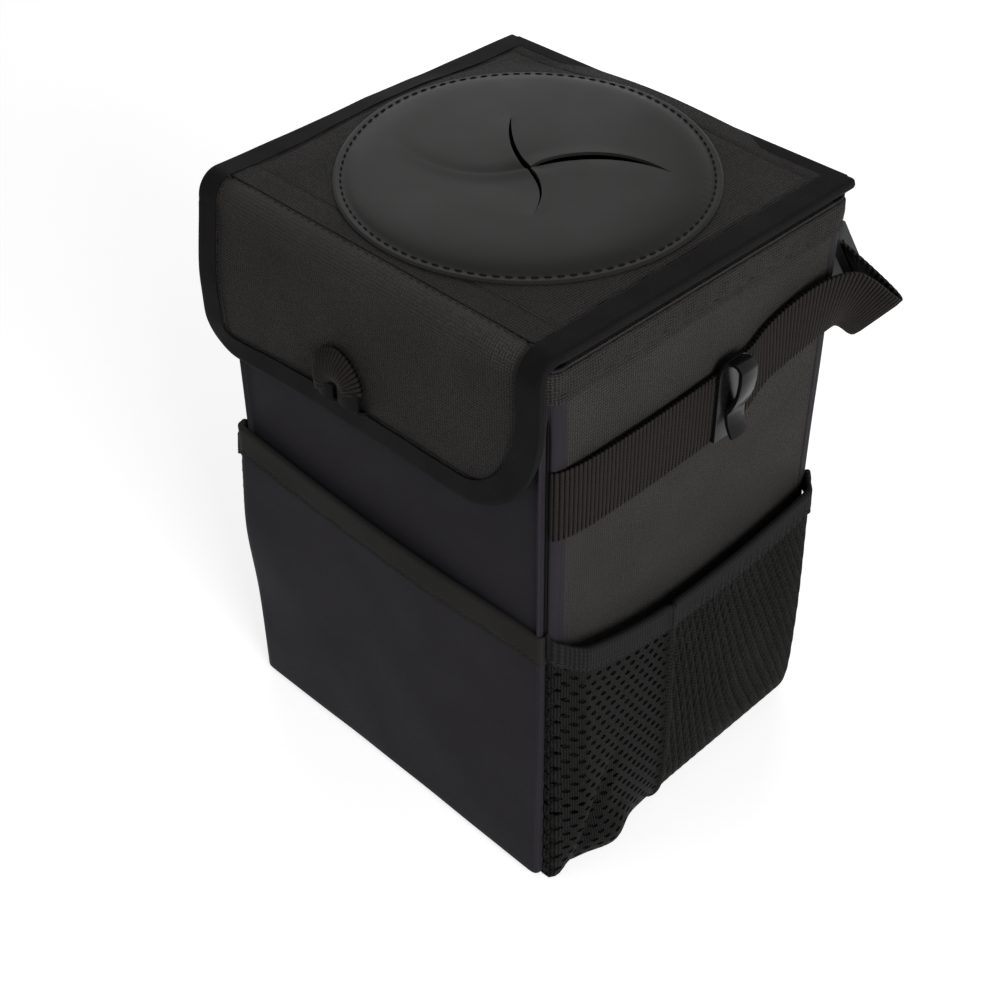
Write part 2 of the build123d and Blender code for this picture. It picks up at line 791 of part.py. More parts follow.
# Hook patch on the flap and loop patch on the front wall, a hair apart
patch_z = flap_bottom + patch_start
loop_thickness = flap_lining_y - half_depth - hook_thickness - patch_gap
patch_planes = {
    "hook_patch": (flap_lining_y - hook_thickness, hook_thickness),
    "loop_patch": (half_depth, loop_thickness),
}
for patch_name, (patch_y, patch_thickness) in patch_planes.items():
    with BuildPart() as patch:
        with BuildSketch(Plane.XZ.offset(patch_y)):
            with Locations((0, patch_z)):
                Rectangle(patch_width, patch_height, align=(Align.CENTER, Align.MIN))
        extrude(amount=patch_thickness)
    save(patch.part, patch_name)
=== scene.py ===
import math
from contextlib import contextmanager
from functools import partial

import bpy
import numpy as np
from mathutils import Matrix, Vector


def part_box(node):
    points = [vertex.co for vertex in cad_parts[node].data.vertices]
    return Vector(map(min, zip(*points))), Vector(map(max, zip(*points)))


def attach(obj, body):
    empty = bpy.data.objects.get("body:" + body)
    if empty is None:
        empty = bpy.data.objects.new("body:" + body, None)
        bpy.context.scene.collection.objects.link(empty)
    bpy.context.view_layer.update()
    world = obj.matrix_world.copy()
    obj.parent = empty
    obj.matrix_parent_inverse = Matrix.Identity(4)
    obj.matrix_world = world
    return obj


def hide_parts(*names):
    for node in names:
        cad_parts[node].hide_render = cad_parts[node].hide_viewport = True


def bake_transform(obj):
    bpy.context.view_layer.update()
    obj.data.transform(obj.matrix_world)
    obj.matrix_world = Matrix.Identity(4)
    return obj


# Car trash bin: cloth, net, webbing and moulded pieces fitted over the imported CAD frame.
# Lengths are in millimetres until a mesh is made; +X is the right side, -Y the front, +Z up.
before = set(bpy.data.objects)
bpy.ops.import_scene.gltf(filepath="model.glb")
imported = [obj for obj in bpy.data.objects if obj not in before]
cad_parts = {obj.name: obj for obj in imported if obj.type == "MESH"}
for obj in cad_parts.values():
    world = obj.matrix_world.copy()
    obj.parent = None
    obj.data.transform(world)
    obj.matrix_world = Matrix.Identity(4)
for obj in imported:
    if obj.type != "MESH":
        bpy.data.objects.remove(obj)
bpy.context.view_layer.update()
MM = 0.001
stack = np.column_stack


def box_mm(node):
    """Lowest and highest corner of a CAD node, in mm."""
    low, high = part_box(node)
    return np.array(low) / MM, np.array(high) / MM


# Places taken from the CAD nodes
front_low, front_high = box_mm("front_panel")
half_x, half_y = box_mm("right_panel")[1][0], -front_low[1]
wall_low, wall_rise = front_low[2], front_high[2] - front_low[2]
hem_low, hem_high = box_mm("rim_hem")[0][2], box_mm("rim_hem")[1][2]
liner_low, liner_high = box_mm("liner")
lid_low, lid_high = box_mm("lid_cover")
lid_half_x, lid_back_y, lid_face = lid_high
lid_middle_y = (lid_low[1] + lid_back_y) / 2
lid_edge = box_mm("right_lid_binding")[1][0]
lining_low = box_mm("lid_lining")[0]
flap_face = box_mm("flap_cover")[0][1]
flap_edge_low = box_mm("flap_binding")[0]
flap_bottom = flap_edge_low[2]
flap_lining_high = box_mm("flap_lining")[1]

# Sizes that only the looks need
corner = 4.6
lap = 2.6
seam_share = 0.33
fold_radius = 9.0
seam_y = -74.0
tape_width = 10.0
tape_cut = 24.0
hole_radius = 62.0
disc_radius = 69.0
dome_radius = 66.0
disc_pitch = 4.2
# Thicknesses
wall_gauge, cloth_gauge, thin_gauge, tape_gauge = 0.8, 0.7, 0.6, 0.5
webbing_gauge, disc_gauge = 1.2, 1.2


# Helpers


def smooth(start, end, value):
    """Rises softly from 0 at start to 1 at end."""
    t = np.clip((value - start) / (end - start), 0, 1)
    return t * t * (3 - 2 * t)


def bump(value, middle, width):
    """A soft bump of height 1 round a middle."""
    return np.exp(-(((value - middle) / width) ** 2))


def ripple(a, b, length, seed):
    """Soft uneven waves between -1 and 1, about `length` mm long."""
    turn = 2 * math.pi / length
    first = np.sin(turn * (a + 0.37 * b) + seed)
    second = np.sin(turn * (0.71 * b - 0.52 * a) + 2.3 * seed)
    third = np.sin(1.9 * turn * (0.83 * a + 0.6 * b) + 4.1 * seed)
    return (first + second + third) / 3


def line_lengths(line):
    """Distance along a line to each of its points."""
    return np.concatenate(([0.0], np.cumsum(np.linalg.norm(np.diff(line, axis=0), axis=1))))


def read_line(places, lengths, line):
    """A line's points at places along its lengths."""
    return stack([np.interp(places, lengths, column) for column in np.transpose(line)])


# The bin's outline from above: a rounded rectangle, measured from the middle of the front
core_x, core_y = half_x - corner, half_y - corner
quarter = math.pi * corner / 2
runs = [core_x, quarter, 2 * core_y, quarter, 2 * core_x, quarter, 2 * core_y, quarter, core_x]
run_ends = np.concatenate(([0.0], np.cumsum(runs)))
outline_length = run_ends[-1]
core_xs = core_x * np.array([0, 1, 1, 1, 1, -1, -1, -1, -1, 0])
core_ys = core_y * np.array([-1, -1, -1, 1, 1, 1, 1, -1, -1, -1])
facings = np.radians([-90, -90, 0, 0, 90, 90, 180, 180, 270, 270])


def round_the_box(distance, out, z):
    """Points `distance` mm round the bin from its front's middle, `out` mm outside its walls."""
    along = np.mod(distance, outline_length)
    facing = np.interp(along, run_ends, facings)
    x = np.interp(along, run_ends, core_xs) + (corner + out) * np.cos(facing)
    y = np.interp(along, run_ends, core_ys) + (corner + out) * np.sin(facing)
    return stack(np.broadcast_arrays(x, y, z))


def pick(piece):
    """Selects only this piece and makes it active."""
    bpy.ops.object.select_all(action="DESELECT")
    piece.select_set(True)
    bpy.context.view_layer.objects.active = piece


@contextmanager
def edit_mode(selection=None):
    """Edit mode on the active piece, with all of it selected or as it was."""
    bpy.ops.object.mode_set(mode="EDIT")
    if selection:
        bpy.ops.mesh.select_all(action=selection)
    yield
    bpy.ops.object.mode_set(mode="OBJECT")


def choose(piece, kind, test):
    """Selects only the polygons or edges of the active piece that pass a test."""
    bpy.ops.object.mode_set(mode="EDIT")
    bpy.ops.mesh.select_all(action="DESELECT")
    bpy.ops.object.mode_set(mode="OBJECT")
    for element in getattr(piece.data, kind):
        element.select = bool(test(element))


def finish_modifiers(piece):
    """Applies a piece's modifiers and smooths its shading."""
    pick(piece)
    for modifier in list(piece.modifiers):
        bpy.ops.object.modifier_apply(modifier=modifier.name)
    bpy.ops.object.shade_smooth_by_angle(angle=math.radians(40))
    return piece


def thicken(piece, thickness, offset):
    """Gives a sheet its thickness, to the side that offset says."""
    skin = piece.modifiers.new("thickness", "SOLIDIFY")
    skin.thickness = thickness * MM
    skin.offset = offset
    return finish_modifiers(piece)


def merge_doubles(piece):
    """Joins points that lie on each other."""
    pick(piece)
    with edit_mode("SELECT"):
        bpy.ops.mesh.remove_doubles(threshold=0.01 * MM)


def get_points(piece):
    """A piece's points, one in a row."""
    points = np.zeros(len(piece.data.vertices) * 3, np.float32)
    piece.data.vertices.foreach_get("co", points)
    return points.reshape(-1, 3)


def set_points(piece, points):
    """Moves a piece's points to places in millimetres."""
    piece.data.vertices.foreach_set("co", (points * MM).astype(np.float32).ravel())


def lay_points(piece, shape, shift):
    """Moves a flat piece's points where shape says; its UV map keeps the flat cloth's mm."""
    mesh = piece.data
    flat = get_points(piece).astype(float) + shift
    points, cloth = shape(flat[:, 0], flat[:, 1])
    set_points(piece, points)
    corners = np.zeros(len(mesh.loops), np.int32)
    mesh.loops.foreach_get("vertex_index", corners)
    layer = mesh.uv_layers.active or mesh.uv_layers.new(name="UVMap")
    layer.uv.foreach_set("vector", cloth[corners].astype(np.float32).ravel())
    mesh.update()


def laid_grid(steps, shape):
    """A grid laid where shape(across, up) says, each from 0 to 1."""
    bpy.ops.mesh.primitive_grid_add(x_subdivisions=steps[0], y_subdivisions=steps[1], size=1)
    lay_points(bpy.context.object, shape, 0.5)
    return bpy.context.object


def laid_sheet(name, steps, shape, thickness, offset=-1.0, closed=False):
    """A sheet of cloth: a laid grid, joined up if it is closed, then thickened."""
    piece = laid_grid(steps, shape)
    piece.name = name
    if closed:
        merge_doubles(piece)
    return thicken(piece, thickness, offset)


def net_sheet(name, cut, shape, thickness):
    """A knitted net: staggered hexagons with their middles cut out, laid where shape says."""
    points, faces, seen = [], [], {}
    for row in range(int(cut[1] / net_up) + 2):
        for column in range(int(cut[0] / net_across) + 2):
            middle = (column * net_across + row % 2 * net_across / 2, row * net_up)
            ring = []
            for k in range(6):
                turn = math.radians(60 * k + 30)
                x = middle[0] + net_across / math.sqrt(3) * math.cos(turn)
                y = middle[1] + net_up / 1.5 * math.sin(turn)
                place = seen.setdefault((round(x, 3), round(y, 3)), len(points))
                if place == len(points):
                    points.append((x, y, 0.0))
                ring.append(place)
            faces.append(ring)
    mesh = bpy.data.meshes.new(name)
    mesh.from_pydata(points, [], faces)
    piece = bpy.data.objects.new(name, mesh)
    bpy.context.scene.collection.objects.link(piece)
    pick(piece)
    with edit_mode("SELECT"):
        bpy.ops.mesh.inset(thickness=net_yarn_width / 2, use_individual=True)
        bpy.ops.mesh.delete(type="FACE")
    lay_points(piece, shape, 0.0)
    return thicken(piece, thickness, 0.0)


def mirror(piece):
    """Turns a right-hand piece into its left-hand twin."""
    piece.data.transform(Matrix.Scale(-1, 4, (1, 0, 0)))
    piece.data.flip_normals()


def softened(node, name, edge, frame_width=0.0):
    """A moulded piece: a merged copy of a CAD node with its edges rounded by `edge` mm.

    A frame width sinks its broad back face inside a frame that wide.
    """
    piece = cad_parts[node].copy()
    piece.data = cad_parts[node].data.copy()
    piece.parent = None
    piece.name = name
    for key in [key for key in piece.keys() if key.startswith("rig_")]:
        del piece[key]
    bpy.context.scene.collection.objects.link(piece)
    merge_doubles(piece)
    with edit_mode("SELECT"):
        bpy.ops.mesh.dissolve_limited(angle_limit=math.radians(4))
    if frame_width:
        choose(piece, "polygons", lambda face: face.normal.y > 0.9 and face.area > 200 * MM**2)
        with edit_mode():
            bpy.ops.mesh.inset(thickness=frame_width * MM, depth=-0.3 * frame_width * MM)
    rounding = piece.modifiers.new("edge", "BEVEL")
    rounding.width = edge * MM
    rounding.segments = 2
    rounding.limit_method = "ANGLE"
    rounding.angle_limit = math.radians(35)
    rounding.use_clamp_overlap = True
    return finish_modifiers(piece)


def stitch_row(name, path, facing, pitch=3.2, length=2.3, thick=0.5):
    """Stitches along a path, all copies of one; facing is the outward way there."""
    line = stack((path, facing))
    lengths = line_lengths(line)
    count = max(2, int(lengths[-1] / pitch))
    stations = read_line((np.arange(count) + 0.5) * lengths[-1] / count, lengths, line)
    bpy.ops.mesh.primitive_uv_sphere_add(segments=6, ring_count=4, radius=0.5 * MM)
    first = bpy.context.object
    first.name = name
    first.data.transform(Matrix.Diagonal((length, thick, thick, 1)))
    one = first.data.copy()
    for k, ahead in enumerate(np.gradient(stations[:, :3], axis=0)):
        along = Vector(ahead).normalized()
        side = Vector(stations[k, 3:]).normalized().cross(along).normalized()
        turn = Matrix((along, side, along.cross(side))).transposed().to_4x4()
        turn.translation = Vector(stations[k, :3]) * MM
        stitch = first.copy() if k else first
        stitch.data = one.copy()
        stitch.data.transform(turn)
        if k:
            bpy.context.scene.collection.objects.link(stitch)
        stitch.select_set(True)
    bpy.context.view_layer.objects.active = first
    bpy.ops.object.join()
    bpy.ops.object.shade_smooth()
    return first


def outline_row(name, distance, out, over, z, **gauge):
    """Stitches round the bin, `out` mm outside its walls, facing places `over` mm outside."""
    path = round_the_box(distance, out, z)
    return stitch_row(name, path, round_the_box(distance, over, z) - path, **gauge)


def cover(piece, finish):
    """Gives a piece one finish all over."""
    piece.data.materials.clear()
    piece.data.materials.append(finish)


def fit(piece, finish, slot, body, *nodes):
    """Gives a piece its finish and body and hides the CAD nodes it stands for; its slot is not used."""
    cover(piece, finish)
    if body:
        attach(piece, body)
    if nodes:
        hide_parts(*nodes)
    return piece


def sew(piece, finish, slot, body, nodes, cut, held, rests_on, **more):
    """Fits a piece of cloth; its cut, the flat width and height in mm, is not used."""
    fit(piece, finish, slot, body, *nodes)
    return piece


# Materials


def colour(code):
    """An sRGB hex colour as linear RGBA."""
    channels = [int(code[k : k + 2], 16) / 255 for k in (1, 3, 5)]
    linear = [c / 12.92 if c <= 0.04045 else ((c + 0.055) / 1.055) ** 2.4 for c in channels]
    return (*linear, 1.0)


def add_node(tree, kind, inputs=None, **settings):
    """Adds a node with its settings and its inputs: values, outputs, or nodes for their first output."""
    made = tree.nodes.new("ShaderNode" + kind)
    for key, value in settings.items():
        setattr(made, key, value)
    for socket, value in (inputs or {}).items():
        source = value.outputs[0] if isinstance(value, bpy.types.Node) else value
        if isinstance(source, bpy.types.NodeSocket):
            tree.links.new(source, made.inputs[socket])
        else:
            made.inputs[socket].default_value = source
    return made


def blank_tree(owner):
    """The emptied node tree of a new material or world."""
    owner.use_nodes = True
    owner.node_tree.nodes.clear()
    return owner.node_tree


def band_scale(length):
    """Scale at which a wave texture's bands are `length` apart."""
    return math.pi / (10 * length)


# Each pattern gives its tone, its height, its roughness, and how strongly its height shows


def weave(thread_pitch, wear, tree, rough):
    """Plain weave, its threads `thread_pitch` mm apart and uneven, worn paler in patches."""
    add = partial(add_node, tree)
    flat = add("TexCoord").outputs["UV"]
    slack = add("TexNoise", {"Vector": flat, "Scale": 0.9 / thread_pitch, "Detail": 2.0})
    nudge = add("VectorMath", {0: slack.outputs["Color"], 1: (-0.5, -0.5, -0.5)}, operation="ADD")
    reach = (0.5 * thread_pitch,) * 3
    bent = add("VectorMath", {0: nudge, 1: reach, 2: flat}, operation="MULTIPLY_ADD")
    bands = {"Vector": bent, "Scale": band_scale(thread_pitch)}
    warp = add("TexWave", bands, bands_direction="X").outputs["Fac"]
    weft = add("TexWave", bands, bands_direction="Y").outputs["Fac"]
    over = add("TexChecker", {"Vector": bent, "Scale": 1 / thread_pitch}).outputs["Fac"]
    height = add("Mix", {"Factor": over, "A": warp, "B": weft})
    patches = add("TexNoise", {"Vector": flat, "Scale": 0.03, "Detail": 4.0})
    worn = {"Value": patches, "From Min": 0.35, "From Max": 0.7, "To Min": 0.0, "To Max": wear}
    lift = add("MapRange", worn)
    lit = add("Math", {0: height, 1: lift}, operation="ADD", use_clamp=True)
    dull = add("MapRange", {"Value": patches, "To Min": rough + 0.12, "To Max": rough - 0.12})
    return lit, height, dull, 1.0


def ribbing(pitch, cross, tree, rough):
    """Ribs across a tape `pitch` mm apart, crossed by yarns `cross` mm apart."""
    add = partial(add_node, tree)
    flat = add("TexCoord").outputs["UV"]
    ribs = add("TexWave", {"Vector": flat, "Scale": band_scale(pitch)}, bands_direction="X")
    yarns = add("TexWave", {"Vector": flat, "Scale": band_scale(cross)}, bands_direction="Y")
    fuzz = add("TexNoise", {"Vector": flat, "Scale": 0.8, "Detail": 3.0})
    mixed = add("Mix", {"Factor": 0.3, "A": ribs.outputs["Fac"], "B": yarns.outputs["Fac"]})
    soft = add("Mix", {"Factor": 0.25, "A": mixed, "B": fuzz})
    uneven = add("MapRange", {"Value": soft, "From Min": 0.36, "From Max": 0.64})
    dull = add("MapRange", {"Value": fuzz, "To Min": rough + 0.1, "To Max": rough - 0.1})
    return uneven, uneven, dull, 1.0


def graining(grain, tree, rough):
    """Moulded grain `grain` mm across, with faint cloudy wear 30 mm across."""
    add = partial(add_node, tree)
    place = add("TexCoord").outputs["Object"]
    grit = add("TexNoise", {"Vector": place, "Scale": 1 / (grain * MM), "Detail": 3.0})
    cloud = add("TexNoise", {"Vector": place, "Scale": 1 / (30 * MM), "Detail": 4.0})
    wear_and_painted_highlight = {"From Min": 0.3, "From Max": 0.7, "To Min": rough - 0.06, "To Max": rough + 0.06}
    return cloud, grit, add("MapRange", {"Value": cloud, **wear_and_painted_highlight}), 0.6


def surface(name, pattern, dark, light, rough, depth, specular, sheen=0.0, fold=None):
    """A material: a pattern mixes its two colours and gives its roughness and a relief `depth` mm deep.

    A fold names the two V values between which the cloth is painted towards a paler colour: a painted
    highlight along the fold.
    """
    material = bpy.data.materials.new(name)
    tree = blank_tree(material)
    add = partial(add_node, tree)
    lit, height, dull, strength = pattern(tree, rough)
    shades = {"Factor": lit, 6: colour(dark), 7: colour(light)}
    tone = add("Mix", shades, data_type="RGBA").outputs[2]
    # A fold paints a paler band across the cloth: a painted highlight, not a colour the cloth has.
    if fold:
        start, end, highlight_tone = fold
        place = add("SeparateXYZ", {0: add("TexCoord").outputs["UV"]}).outputs["Y"]
        span = {"Value": place, "From Min": start, "From Max": end, "To Min": 0.0, "To Max": 0.5}
        wear_and_painted_highlight = add("MapRange", span, interpolation_type="SMOOTHSTEP")
        shades = {"Factor": wear_and_painted_highlight, 6: tone, 7: colour(highlight_tone)}
        tone = add("Mix", shades, data_type="RGBA").outputs[2]
    relief = add("Bump", {"Height": height, "Distance": depth * MM, "Strength": strength})
    skin = {"Base Color": tone, "Roughness": dull, "Normal": relief, "Specular IOR Level": specular}
    shader = add("BsdfPrincipled", {**skin, "Sheen Weight": sheen})
    add("OutputMaterial", {"Surface": shader})
    return material


# Oxford polyester: a plain weave of black filament yarn, dull with small glints on each thread. Threads
# about 0.6 mm apart are drawn 1.1 mm apart so that they show.
oxford_weave = partial(weave, 1.1, 0.15)
oxford_look = ("#131212", "#363433", 0.62, 0.25, 0.05)
oxford = surface("oxford_polyester", oxford_weave, *oxford_look)
# The same cloth on the side walls, drawn paler: painted light, for the stronger light on the sides.
wall_oxford_painted_light = surface("oxford_polyester_painted_wall_light", oxford_weave, "#161514", "#3e3c3b", 0.62, 0.25, 0.05)
# The same cloth on the flap, painted paler where it is rolled over the lid's front edge: a painted highlight
# along the roll.
fold_highlight_oxford = surface("oxford_polyester_painted_fold_highlight", oxford_weave, *oxford_look, fold=(-17.0, -3.0, "#494644"))
# PU-coated polyester: a fine weave filled by its coating, so it is smooth with a cool cast.
coated = surface("pu_coated_polyester", partial(weave, 0.7, 0.2), "#222023", "#2d2b2f", 0.5, 0.04, 0.02)
# Taffeta lining: thin dark grey weave, slightly silky.
lining = surface("taffeta_lining", partial(weave, 0.6, 0.3), "#1a1a1b", "#2f2f31", 0.5, 0.05, 0.2)
# Woven binding tape: smooth polyester tape, its fine weave hardly seen.
tape_weave = partial(weave, 0.8, 0.25)
binding = surface("polyester_binding_tape", tape_weave, "#121112", "#1b1a1b", 0.55, 0.04, 0.02)
# The same tape in a paler grey, over the front pocket's mouth.
hem_tape = surface("polyester_hem_tape", tape_weave, "#21201f", "#2a2928", 0.55, 0.04, 0.02)
# Polypropylene webbing: hard ribs across the tape, shiny on their crests.
rib_pitch = 1.9
webbing_ribs = partial(ribbing, rib_pitch, 1.3)
webbing = surface("polypropylene_webbing", webbing_ribs, "#010101", "#221f1e", 0.5, 0.25, 0.03)
# Knitted elastic: soft matt ribs.
elastic = surface("knitted_elastic", partial(ribbing, 1.4, 2.0), "#131212", "#201f1f", 0.7, 0.08, 0.05)
# Polyester net yarn: knitted strands, matt with a slight sheen along them.
net_yarn = surface("polyester_net_yarn", partial(ribbing, 0.8, 0.8), "#080707", "#1c1b1a", 0.6, 0.12, 0.04)
# The same net gathered: its close meshes are drawn as a coarse open weave with dark holes, so that they show.
net_cloth = surface("gathered_polyester_net", partial(weave, 1.9, 0.1), "#070707", "#201f1e", 0.65, 0.3, 0.03)
# Nylon 66: glossy black injection moulding.
nylon = surface("moulded_nylon", partial(graining, 0.8), "#0a0a0a", "#141414", 0.27, 0.01, 0.14)
# Acetal: black buckle moulding with a faintly spark-eroded face.
acetal = surface("moulded_acetal", partial(graining, 0.6), "#0c0c0c", "#161616", 0.4, 0.03, 0.12)
# Soft PVC sheet: satin black skin with a very fine leather grain.
soft_pvc = surface("soft_pvc_sheet", partial(graining, 0.9), "#201f1e", "#252423", 0.36, 0.02, 0.06)
# PEVA film: heat-sealed waterproof liner, dark grey and slippery.
peva = surface("peva_film", partial(graining, 3.0), "#1d1d1e", "#2b2b2d", 0.35, 0.1, 0.4)
# Polyethylene board: stiffener inside the walls.
board = surface("polyethylene_board", partial(graining, 1.2), "#1c1c1c", "#262626", 0.5, 0.04, 0.4)
# Hook and loop tape: a bed of nylon hooks or loops.
hook_bed = partial(weave, 1.6, 0.1)
bristle = surface("hook_and_loop_tape", hook_bed, "#050505", "#2a2a2a", 0.7, 0.6, 0.2, sheen=0.2)
# Bonded polyester sewing thread.
thread = surface("polyester_thread", partial(graining, 0.4), "#1e1d1c", "#2b2a29", 0.5, 0.05, 0.1)
# The same thread in near black: real stitches, coloured as painted shade of the creases and grooves they are
# sunk into, on the cloth and the soft sheet.
painted_shade_thread = surface("polyester_thread_painted_shade", partial(graining, 0.4), "#040404", "#0a0a0a", 0.8, 0.05, 0.1)


# Walls, base, liner and rim


def wall_shape(middle, reach, lapped, across, up):
    """A wall's cloth; a lapped one turns the corners and is sewn over the side cloth."""
    near, share = (core_x - 8, 0.3) if lapped else (reach - 1, 0.02)
    side = np.interp(across, [0, share, 1 - share, 1], [-reach, -near, near, reach])
    z = wall_low + up * wall_rise
    free = smooth(wall_low, wall_low + 9, z) * (1 - smooth(214, 228, z))
    out = 0.14 * ripple(side, z, 64, middle) * free
    if lapped:
        past = np.abs(side) - core_x
        out += 1.5 * bump(past, 0.05 * quarter, 0.8) * free
        out -= 3.2 * bump(past, seam_share * quarter, 0.75) * free
        out += 0.3 * smooth(quarter + 0.4, quarter + 1.2, past) * free
    return round_the_box(middle + side, out, z), stack((side, z))


lapped_reach = core_x + quarter + lap
side_reach = core_y - lap
side_middle = core_x + quarter + core_y
back_middle = outline_length / 2
coated_wall = (True, lapped_reach, (140, 46), coated, "coated_cloth")
# The side walls take the paler copy of the Oxford cloth: painted light.
oxford_wall = (False, side_reach, (70, 90), wall_oxford_painted_light, "oxford_cloth")
for side, middle, (lapped, reach, steps, finish, slot) in (
    ("front", 0, coated_wall),
    ("back", back_middle, coated_wall),
    ("right", side_middle, oxford_wall),
    ("left", outline_length - side_middle, oxford_wall),
):
    wall = laid_sheet(f"{side}_wall_cloth", steps, partial(wall_shape, middle, reach, lapped), wall_gauge)
    wall_fit = (finish, slot, "bin", [f"{side}_panel"])
    sew(wall, *wall_fit, (2 * reach, wall_rise), "stretched", ["front_board", "base_board"])

# Seam thread down the four corners, sunk where the front and back cloth turn over the sides; near black, with
# its stitches overlapping into one line, it is painted shade of the seam's groove
seam_z = np.linspace(wall_low + 6, hem_low - 1, 60)
seam_gauge = {"pitch": 1.3, "length": 3.2, "thick": 1.5}
for place, middle, way in (
    ("front_right", 0, 1),
    ("front_left", 0, -1),
    ("back_left", back_middle, 1),
    ("back_right", back_middle, -1),
):
    seam_d = middle + way * (core_x + seam_share * quarter)
    seam = outline_row(f"{place}_seam_stitches", seam_d, -1.3, 2.0, seam_z, **seam_gauge)
    fit(seam, painted_shade_thread, "coated_cloth", "bin")


def base_shape(across, up):
    """The base cloth, turned up a little at its edge."""
    a, b = 2 * across - 1, 2 * up - 1
    x = half_x * a * np.sqrt(1 - 0.035 * b**8)
    y = half_y * b * np.sqrt(1 - 0.035 * a**8)
    edge = np.maximum(np.abs(a), np.abs(b))
    z = 0.15 + 0.75 * smooth(0.97, 1.0, edge) + 0.12 * ripple(x, y, 60, 1.0)
    return stack((x, y, z)), stack((x, y))


base_cloth = laid_sheet("base_cloth", (60, 56), base_shape, thin_gauge, offset=1.0)
base_cut = (2 * half_x, 2 * half_y)
sew(base_cloth, coated, "coated_cloth", "bin", ["base_panel"], base_cut, "stretched", ["base_board"])


def model_liner(low, high):
    """The waterproof liner: an open tub, softly creased."""
    bpy.ops.mesh.primitive_cube_add(size=1)
    tub = bpy.context.object
    tub.name = "liner_film"
    tub.data.transform(Matrix.Diagonal((*((high - low) * MM), 1)))
    tub.data.transform(Matrix.Translation(Vector((low + high) / 2 * MM)))
    choose(tub, "polygons", lambda face: face.normal.z > 0.9)
    with edit_mode():
        bpy.ops.mesh.delete(type="FACE")
    heights = get_points(tub)[:, 2]
    choose(tub, "edges", lambda edge: min(heights[k] for k in edge.vertices) < (low[2] + 1) * MM)
    with edit_mode():
        bpy.ops.mesh.bevel(offset=3.5 * MM, segments=3, affect="EDGES")
        bpy.ops.mesh.select_all(action="SELECT")
        bpy.ops.mesh.subdivide(number_cuts=16)
        bpy.ops.mesh.normals_make_consistent(inside=True)
    points = get_points(tub) / MM
    crease = 0.5 + 0.5 * ripple(points[:, 0] + points[:, 1], points[:, 2], 46, 3.0)
    pull = crease * (1 - smooth(222, 230, points[:, 2])) * smooth(low[2], low[2] + 12, points[:, 2])
    for axis in (0, 1):
        places = points[:, axis]
        points[:, axis] -= np.sign(places) * pull * (np.abs(places) > high[axis] - 1)
    set_points(tub, points)
    return thicken(tub, thin_gauge, 1.0)


liner_film = model_liner(liner_low, liner_high)
liner_x, liner_y, liner_z = liner_high - liner_low
liner_area = (2 * (liner_x + liner_y) * liner_z + liner_x * liner_y) * MM**2
liner_cut = (liner_x + 2 * liner_z, liner_y + 2 * liner_z)
sew(liner_film, peva, "lining_cloth", "bin", ["liner"], liner_cut, "folded", ["base_board"], area=liner_area)

hem_row_z = hem_low + 3.4


def rim_hem_shape(across, up):
    """The hem folded over the rim, puckered round its stitches."""
    d = across * outline_length
    share = [0, 0.4, 0.45, 0.55, 0.6, 1]
    top = hem_high - 2.0
    out = np.interp(up, share, [1.0, 0.8, 0.35, -4.0, -4.35, -4.35])
    z = np.interp(up, share, [hem_low, top - 0.7, top, top, top - 0.7, hem_low])
    outer = 1 - smooth(0.3, 0.42, up)
    pucker = np.sin(2 * math.pi * d / 9.7 + 1.7 * np.sin(d / 23.0)) + 0.6 * np.sin(2 * math.pi * d / 23.3)
    puffed = 0.36 * (pucker + 0.9) * bump(z, hem_row_z + 2.5, 4.5)
    out = out + outer * (puffed - 0.5 * bump(z, hem_row_z, 0.8))
    out = out + outer * 0.2 * ripple(d, 3 * z, 31, 2.0) * smooth(hem_low + 4, hem_low + 8, z)
    z = z + outer * 0.5 * np.sin(d / 11.0) * (1 - smooth(hem_low, hem_low + 5, z))
    return round_the_box(d, out, z), stack((d, 30 * up))


rim_hem = laid_sheet("rim_hem_cloth", (440, 30), rim_hem_shape, cloth_gauge, offset=0.0, closed=True)
hem_cut = (outline_length, 2 * (hem_high - hem_low) + 5)
sew(rim_hem, oxford, "oxford_cloth", "bin", ["rim_hem"], hem_cut, "folded", ["right_board", "liner"])
hem_row = outline_row("rim_hem_stitches", np.linspace(0, outline_length, 600), 1.0, 2.0, hem_row_z)
fit(hem_row, thread, "oxford_cloth", "bin")


# Front pocket

front_pocket_reach = core_x + 0.42 * quarter
front_row_drop = 11.6
# Shares of a hem's width at the ends of its outer leg, its bend over the mouth and its inner leg
hem_shares = [0, 0.5, 0.56, 0.6, 0.64, 1]


def pocket_mouth(d):
    """Height of the front pocket's mouth: a little higher towards the left."""
    return 132.3 - 0.035 * d + 0.0004 * np.minimum(d, 0) ** 2


def corner_stand(z, hand):
    """How far the pockets stand off the corner seam: tight on the right, slack on the left."""
    tight = 1.2 + 3.6 * (1 - smooth(0, 95, z))
    slack = 5.2 + 2.1 * bump(z, 85, 26) - smooth(115, 132, z)
    return np.where(np.asarray(hand) > 0, tight, slack)


def pocket_side(across):
    """Distance along the front pocket; the grid is closer towards its ends."""
    return np.interp(across, [0, 0.25, 0.75, 1], [-front_pocket_reach, -66, 66, front_pocket_reach])


def pocket_stand(d, z):
    """How far the front pocket stands out; its ends are tucked in to the corner seams."""
    front = 4.4 + 0.25 * ripple(d, z, 80, 5.0)
    at_seam = smooth(20, core_x, np.abs(d))
    tuck = 2.4 * bump(np.abs(d), front_pocket_reach, 0.9)
    return front * (1 - at_seam) + corner_stand(z, d) * at_seam - tuck


def front_pocket_shape(across, up):
    """The front pocket: tucked in at its foot, it leans out to the mouth."""
    side = pocket_side(across)
    top = pocket_mouth(side)
    z = np.where(up < 0.05, 1.3 + 0.4 * up / 0.05, 1.7 + (top - 2.2) * (up - 0.05) / 0.95)
    out = pocket_stand(side, z) * smooth(-0.02, 0.06, up)
    return round_the_box(side, out, z), stack((side, z))


